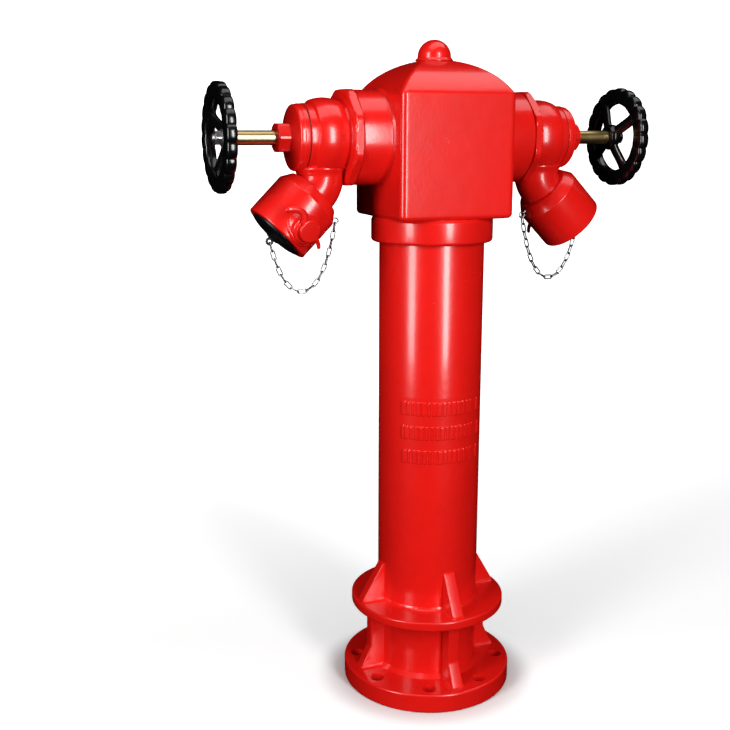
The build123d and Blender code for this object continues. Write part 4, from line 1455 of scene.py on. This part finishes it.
def cap_eye_place():
    """Centre of the cap's chain eye."""
    return BEND + valve().eye_at * OUTLET


def hanging_chain():
    """Centres and directions of the links on a catenary between the anchor and the cap's eye.

    With span h, rise v and length L, sqrt(L^2 - v^2) / h = sinh(k) / k gives k by halving; the
    curve is z = bottom + c cosh(t), x = start + c (t - t0), c = h / 2k, and a run s of chain is
    c (sinh t - sinh t0).
    """
    size = valve()
    eye, anchor = cap_eye_place(), anchor_place()[0]
    span, rise = eye[0] - anchor[0], eye[2] - anchor[2]
    total = (size.links + 0.4) * size.link_pitch
    goal = math.sqrt(total**2 - rise**2) / span
    small, large = 0.05, 20.0
    for _ in range(60):
        guess = (small + large) / 2
        if math.sinh(guess) / guess < goal:
            small = guess
        else:
            large = guess
    scale = span / 2 / small
    first = math.asinh(rise / (2 * scale * math.sinh(small))) - small
    run = (0.2 + 0.5 + np.arange(size.links)) * size.link_pitch
    t = np.arcsinh(run / scale + math.sinh(first))
    centres = np.stack([
        anchor[0] + scale * (t - first), np.zeros_like(t),
        anchor[2] + scale * (np.cosh(t) - math.cosh(first)),
    ], 1)
    ahead = np.stack([1 / np.cosh(t), np.zeros_like(t), np.tanh(t)], 1)
    return centres, ahead


def chain_shells():
    """Oval links: a wire circle carried round a stadium, each link a quarter turn on the last."""
    size = valve()
    centres, ahead = hanging_chain()
    bend = size.link_wide / 2
    straight = (size.link_pitch + 2.4 * MM) / 2 - bend
    half = np.linspace(-math.pi / 2, math.pi / 2, 13)
    ends = np.stack([straight + bend * np.cos(half), bend * np.sin(half)], 1)
    loop = np.vstack([ends, -ends])
    ahead_of = np.roll(loop, -1, 0) - np.roll(loop, 1, 0)
    out = np.stack([ahead_of[:, 1], -ahead_of[:, 0]], 1)
    out /= np.linalg.norm(out, axis=1, keepdims=True)
    tube = np.linspace(0, TURN, 12, endpoint=False)
    flat = loop[:, None] + size.wire_radius * np.cos(tube)[None, :, None] * out[:, None]
    rise = np.broadcast_to(size.wire_radius * np.sin(tube)[None, :], flat.shape[:2])
    shells = []
    for i, (centre, way) in enumerate(zip(centres, ahead)):
        face = Y if i % 2 else np.cross(way, Y)
        across = np.cross(face, way)
        points = (
            centre + flat[..., :1] * way + flat[..., 1:] * across + rise[..., None] * face
        )
        shells.append(skin(points, wrap_rows=True))
    return shells


class HYDRANT_OT_caps(bpy.types.Operator):
    """Blank caps with their chain eyes, and the anchors on the couplings"""

    bl_idname = "hydrant.caps"
    bl_label = "Build the caps"

    def execute(self, context):
        anchor, root = anchor_place()
        crown = BEND + valve().cap_crown * OUTLET
        cap = [cap_shell(), *eye_shells(cap_eye_place(), Y, 4.4 * MM, 2.1 * MM, crown)]
        make_pair("domed_cap", cap, "plastic", "cap", "blank_cap")
        anchor_eye = eye_shells(anchor, Y, 4.6 * MM, 1.3 * MM, root)
        make_pair("anchor_eye", anchor_eye, "zinc", "pillar", "chain_anchor")
        return {"FINISHED"}


class HYDRANT_OT_chains(bpy.types.Operator):
    """Keep chains that hang between the coupling and the cap"""

    bl_idname = "hydrant.chains"
    bl_label = "Build the chains"

    def execute(self, context):
        ends = np.array([anchor_place()[0], cap_eye_place()])
        for side in SIDES:
            chain = make_piece(
                f"{side}_link_chain", chain_shells(), "zinc", None, [f"{side}_chain"], side
            )
            start, end = placed(ends, side)
            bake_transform(chain)
        return {"FINISHED"}


# ---- studio ---------------------------------------------------------------------------------
# Name, place, aim, width, height and share of the key power of each soft box.
SOFT_BOXES = (
    ("left_soft_box", (-2.20, -0.96, 1.25), (0.0, 0.0, 0.80), 0.62, 1.9, 0.95),
    ("right_soft_box", (0.32, -2.38, 1.25), (0.0, 0.0, 0.80), 0.50, 1.9, 1.15),
    ("top_soft_box", (0.3, -0.3, 3.2), (0.2, 0.0, 0.6), 4.0, 1.5, 0.68),
    ("wall_wash", (0.0, 2.6, 3.6), (1.2, 6.1, 1.2), 3.5, 1.5, 8.0),
)


def soft_box(name, place, aim, width, height, power):
    """A rectangular area light that faces `aim`."""
    light = bpy.data.lights.new(name, "AREA")
    light.shape = "RECTANGLE"
    light.size, light.size_y = width, height
    light.energy = power
    lamp = bpy.data.objects.new(name, light)
    bpy.context.scene.collection.objects.link(lamp)
    lamp.location = place
    way = Vector(aim) - Vector(place)
    lamp.rotation_euler = way.to_track_quat("-Z", "Y").to_euler()


def studio_bowl():
    """A round pale floor that curves up into a wall by a quarter round, all round the hydrant."""
    reach, radius, wall = 4.5, 1.6, 5.0
    rise = np.linspace(0, math.pi / 2, 16)
    away = np.concatenate([[0.0, 1.0], reach + radius * np.sin(rise), [reach + radius]])
    height = np.concatenate([[0.0, 0.0], radius - radius * np.cos(rise), [wall]])
    turn = np.linspace(0, TURN, 64, endpoint=False)[None, :]
    away, height = away[:, None], height[:, None]
    return skin(np.stack(
        np.broadcast_arrays(away * np.cos(turn), away * np.sin(turn), height), -1
    ))


class HYDRANT_OT_studio(bpy.types.Operator):
    """Floor, soft light and camera"""

    bl_idname = "hydrant.studio"
    bl_label = "Set up the studio"

    def execute(self, context):
        scene = context.scene
        studio = scene.studio_settings
        camera_data = bpy.data.cameras.new("camera")
        camera_data.lens = studio.lens
        camera_data.sensor_width = 36.0
        camera = bpy.data.objects.new("camera", camera_data)
        scene.collection.objects.link(camera)
        camera.location = studio.camera
        camera.rotation_euler = (studio.camera_pitch, 0.0, studio.camera_heading)
        scene.camera = camera

        points, faces = studio_bowl()
        mesh = bpy.data.meshes.new("floor")
        mesh.from_pydata(points.tolist(), [], faces)
        mesh.polygons.foreach_set("use_smooth", np.ones(len(mesh.polygons), bool))
        mesh.materials.append(finish("floor"))
        floor = bpy.data.objects.new("floor", mesh)
        scene.collection.objects.link(floor)
        floor.visible_glossy = False
        floor.visible_diffuse = False
        for name, place, aim, width, height, share in SOFT_BOXES:
            soft_box(name, place, aim, width, height, studio.key_power * share)

        world = bpy.data.worlds.new("white_surround")
        world.use_nodes = True
        background = world.node_tree.nodes["Background"]
        background.inputs["Color"].default_value = (1.0, 1.0, 1.0, 1.0)
        background.inputs["Strength"].default_value = studio.sky
        scene.world = world
        world.cycles_visibility.glossy = False
        world.cycles_visibility.diffuse = False
        scene.view_settings.view_transform = "Standard"
        return {"FINISHED"}


# ---- add-on ---------------------------------------------------------------------------------
OPERATORS = (
    HYDRANT_OT_studio,
    HYDRANT_OT_pillar,
    HYDRANT_OT_head,
    HYDRANT_OT_valves,
    HYDRANT_OT_bonnets,
    HYDRANT_OT_stems,
    HYDRANT_OT_handwheels,
    HYDRANT_OT_couplings,
    HYDRANT_OT_catches,
    HYDRANT_OT_caps,
    HYDRANT_OT_chains,
)
GROUPS = {
    "pillar_sizes": PillarSizes,
    "valve_sizes": ValveSizes,
    "finish_colours": FinishColours,
    "studio_settings": StudioSettings,
}


class HYDRANT_PT_panel(bpy.types.Panel):
    """Lists the steps that build the hydrant"""

    bl_idname = "HYDRANT_PT_panel"
    bl_label = "Pillar Hydrant"
    bl_space_type = "VIEW_3D"
    bl_region_type = "UI"
    bl_category = "Hydrant"

    def draw(self, context):
        for operator in OPERATORS:
            self.layout.operator(operator.bl_idname)
        for name, group in GROUPS.items():
            box = self.layout.box()
            box.label(text=group.__doc__)
            for key in group.__annotations__:
                box.prop(getattr(context.scene, name), key)


CLASSES = (*GROUPS.values(), *OPERATORS, HYDRANT_PT_panel)


def register():
    """Makes the settings, operators and panel known to Blender."""
    for cls in CLASSES:
        bpy.utils.register_class(cls)
    for name, group in GROUPS.items():
        setattr(bpy.types.Scene, name, PointerProperty(type=group))


def unregister():
    """Takes them away again."""
    for name in GROUPS:
        delattr(bpy.types.Scene, name)
    for cls in reversed(CLASSES):
        bpy.utils.unregister_class(cls)


def main():
    """Runs every operator in turn."""
    register()
    for operator in OPERATORS:
        group, name = operator.bl_idname.split(".")
        getattr(getattr(bpy.ops, group), name)()


if __name__ == "__main__":
    main()
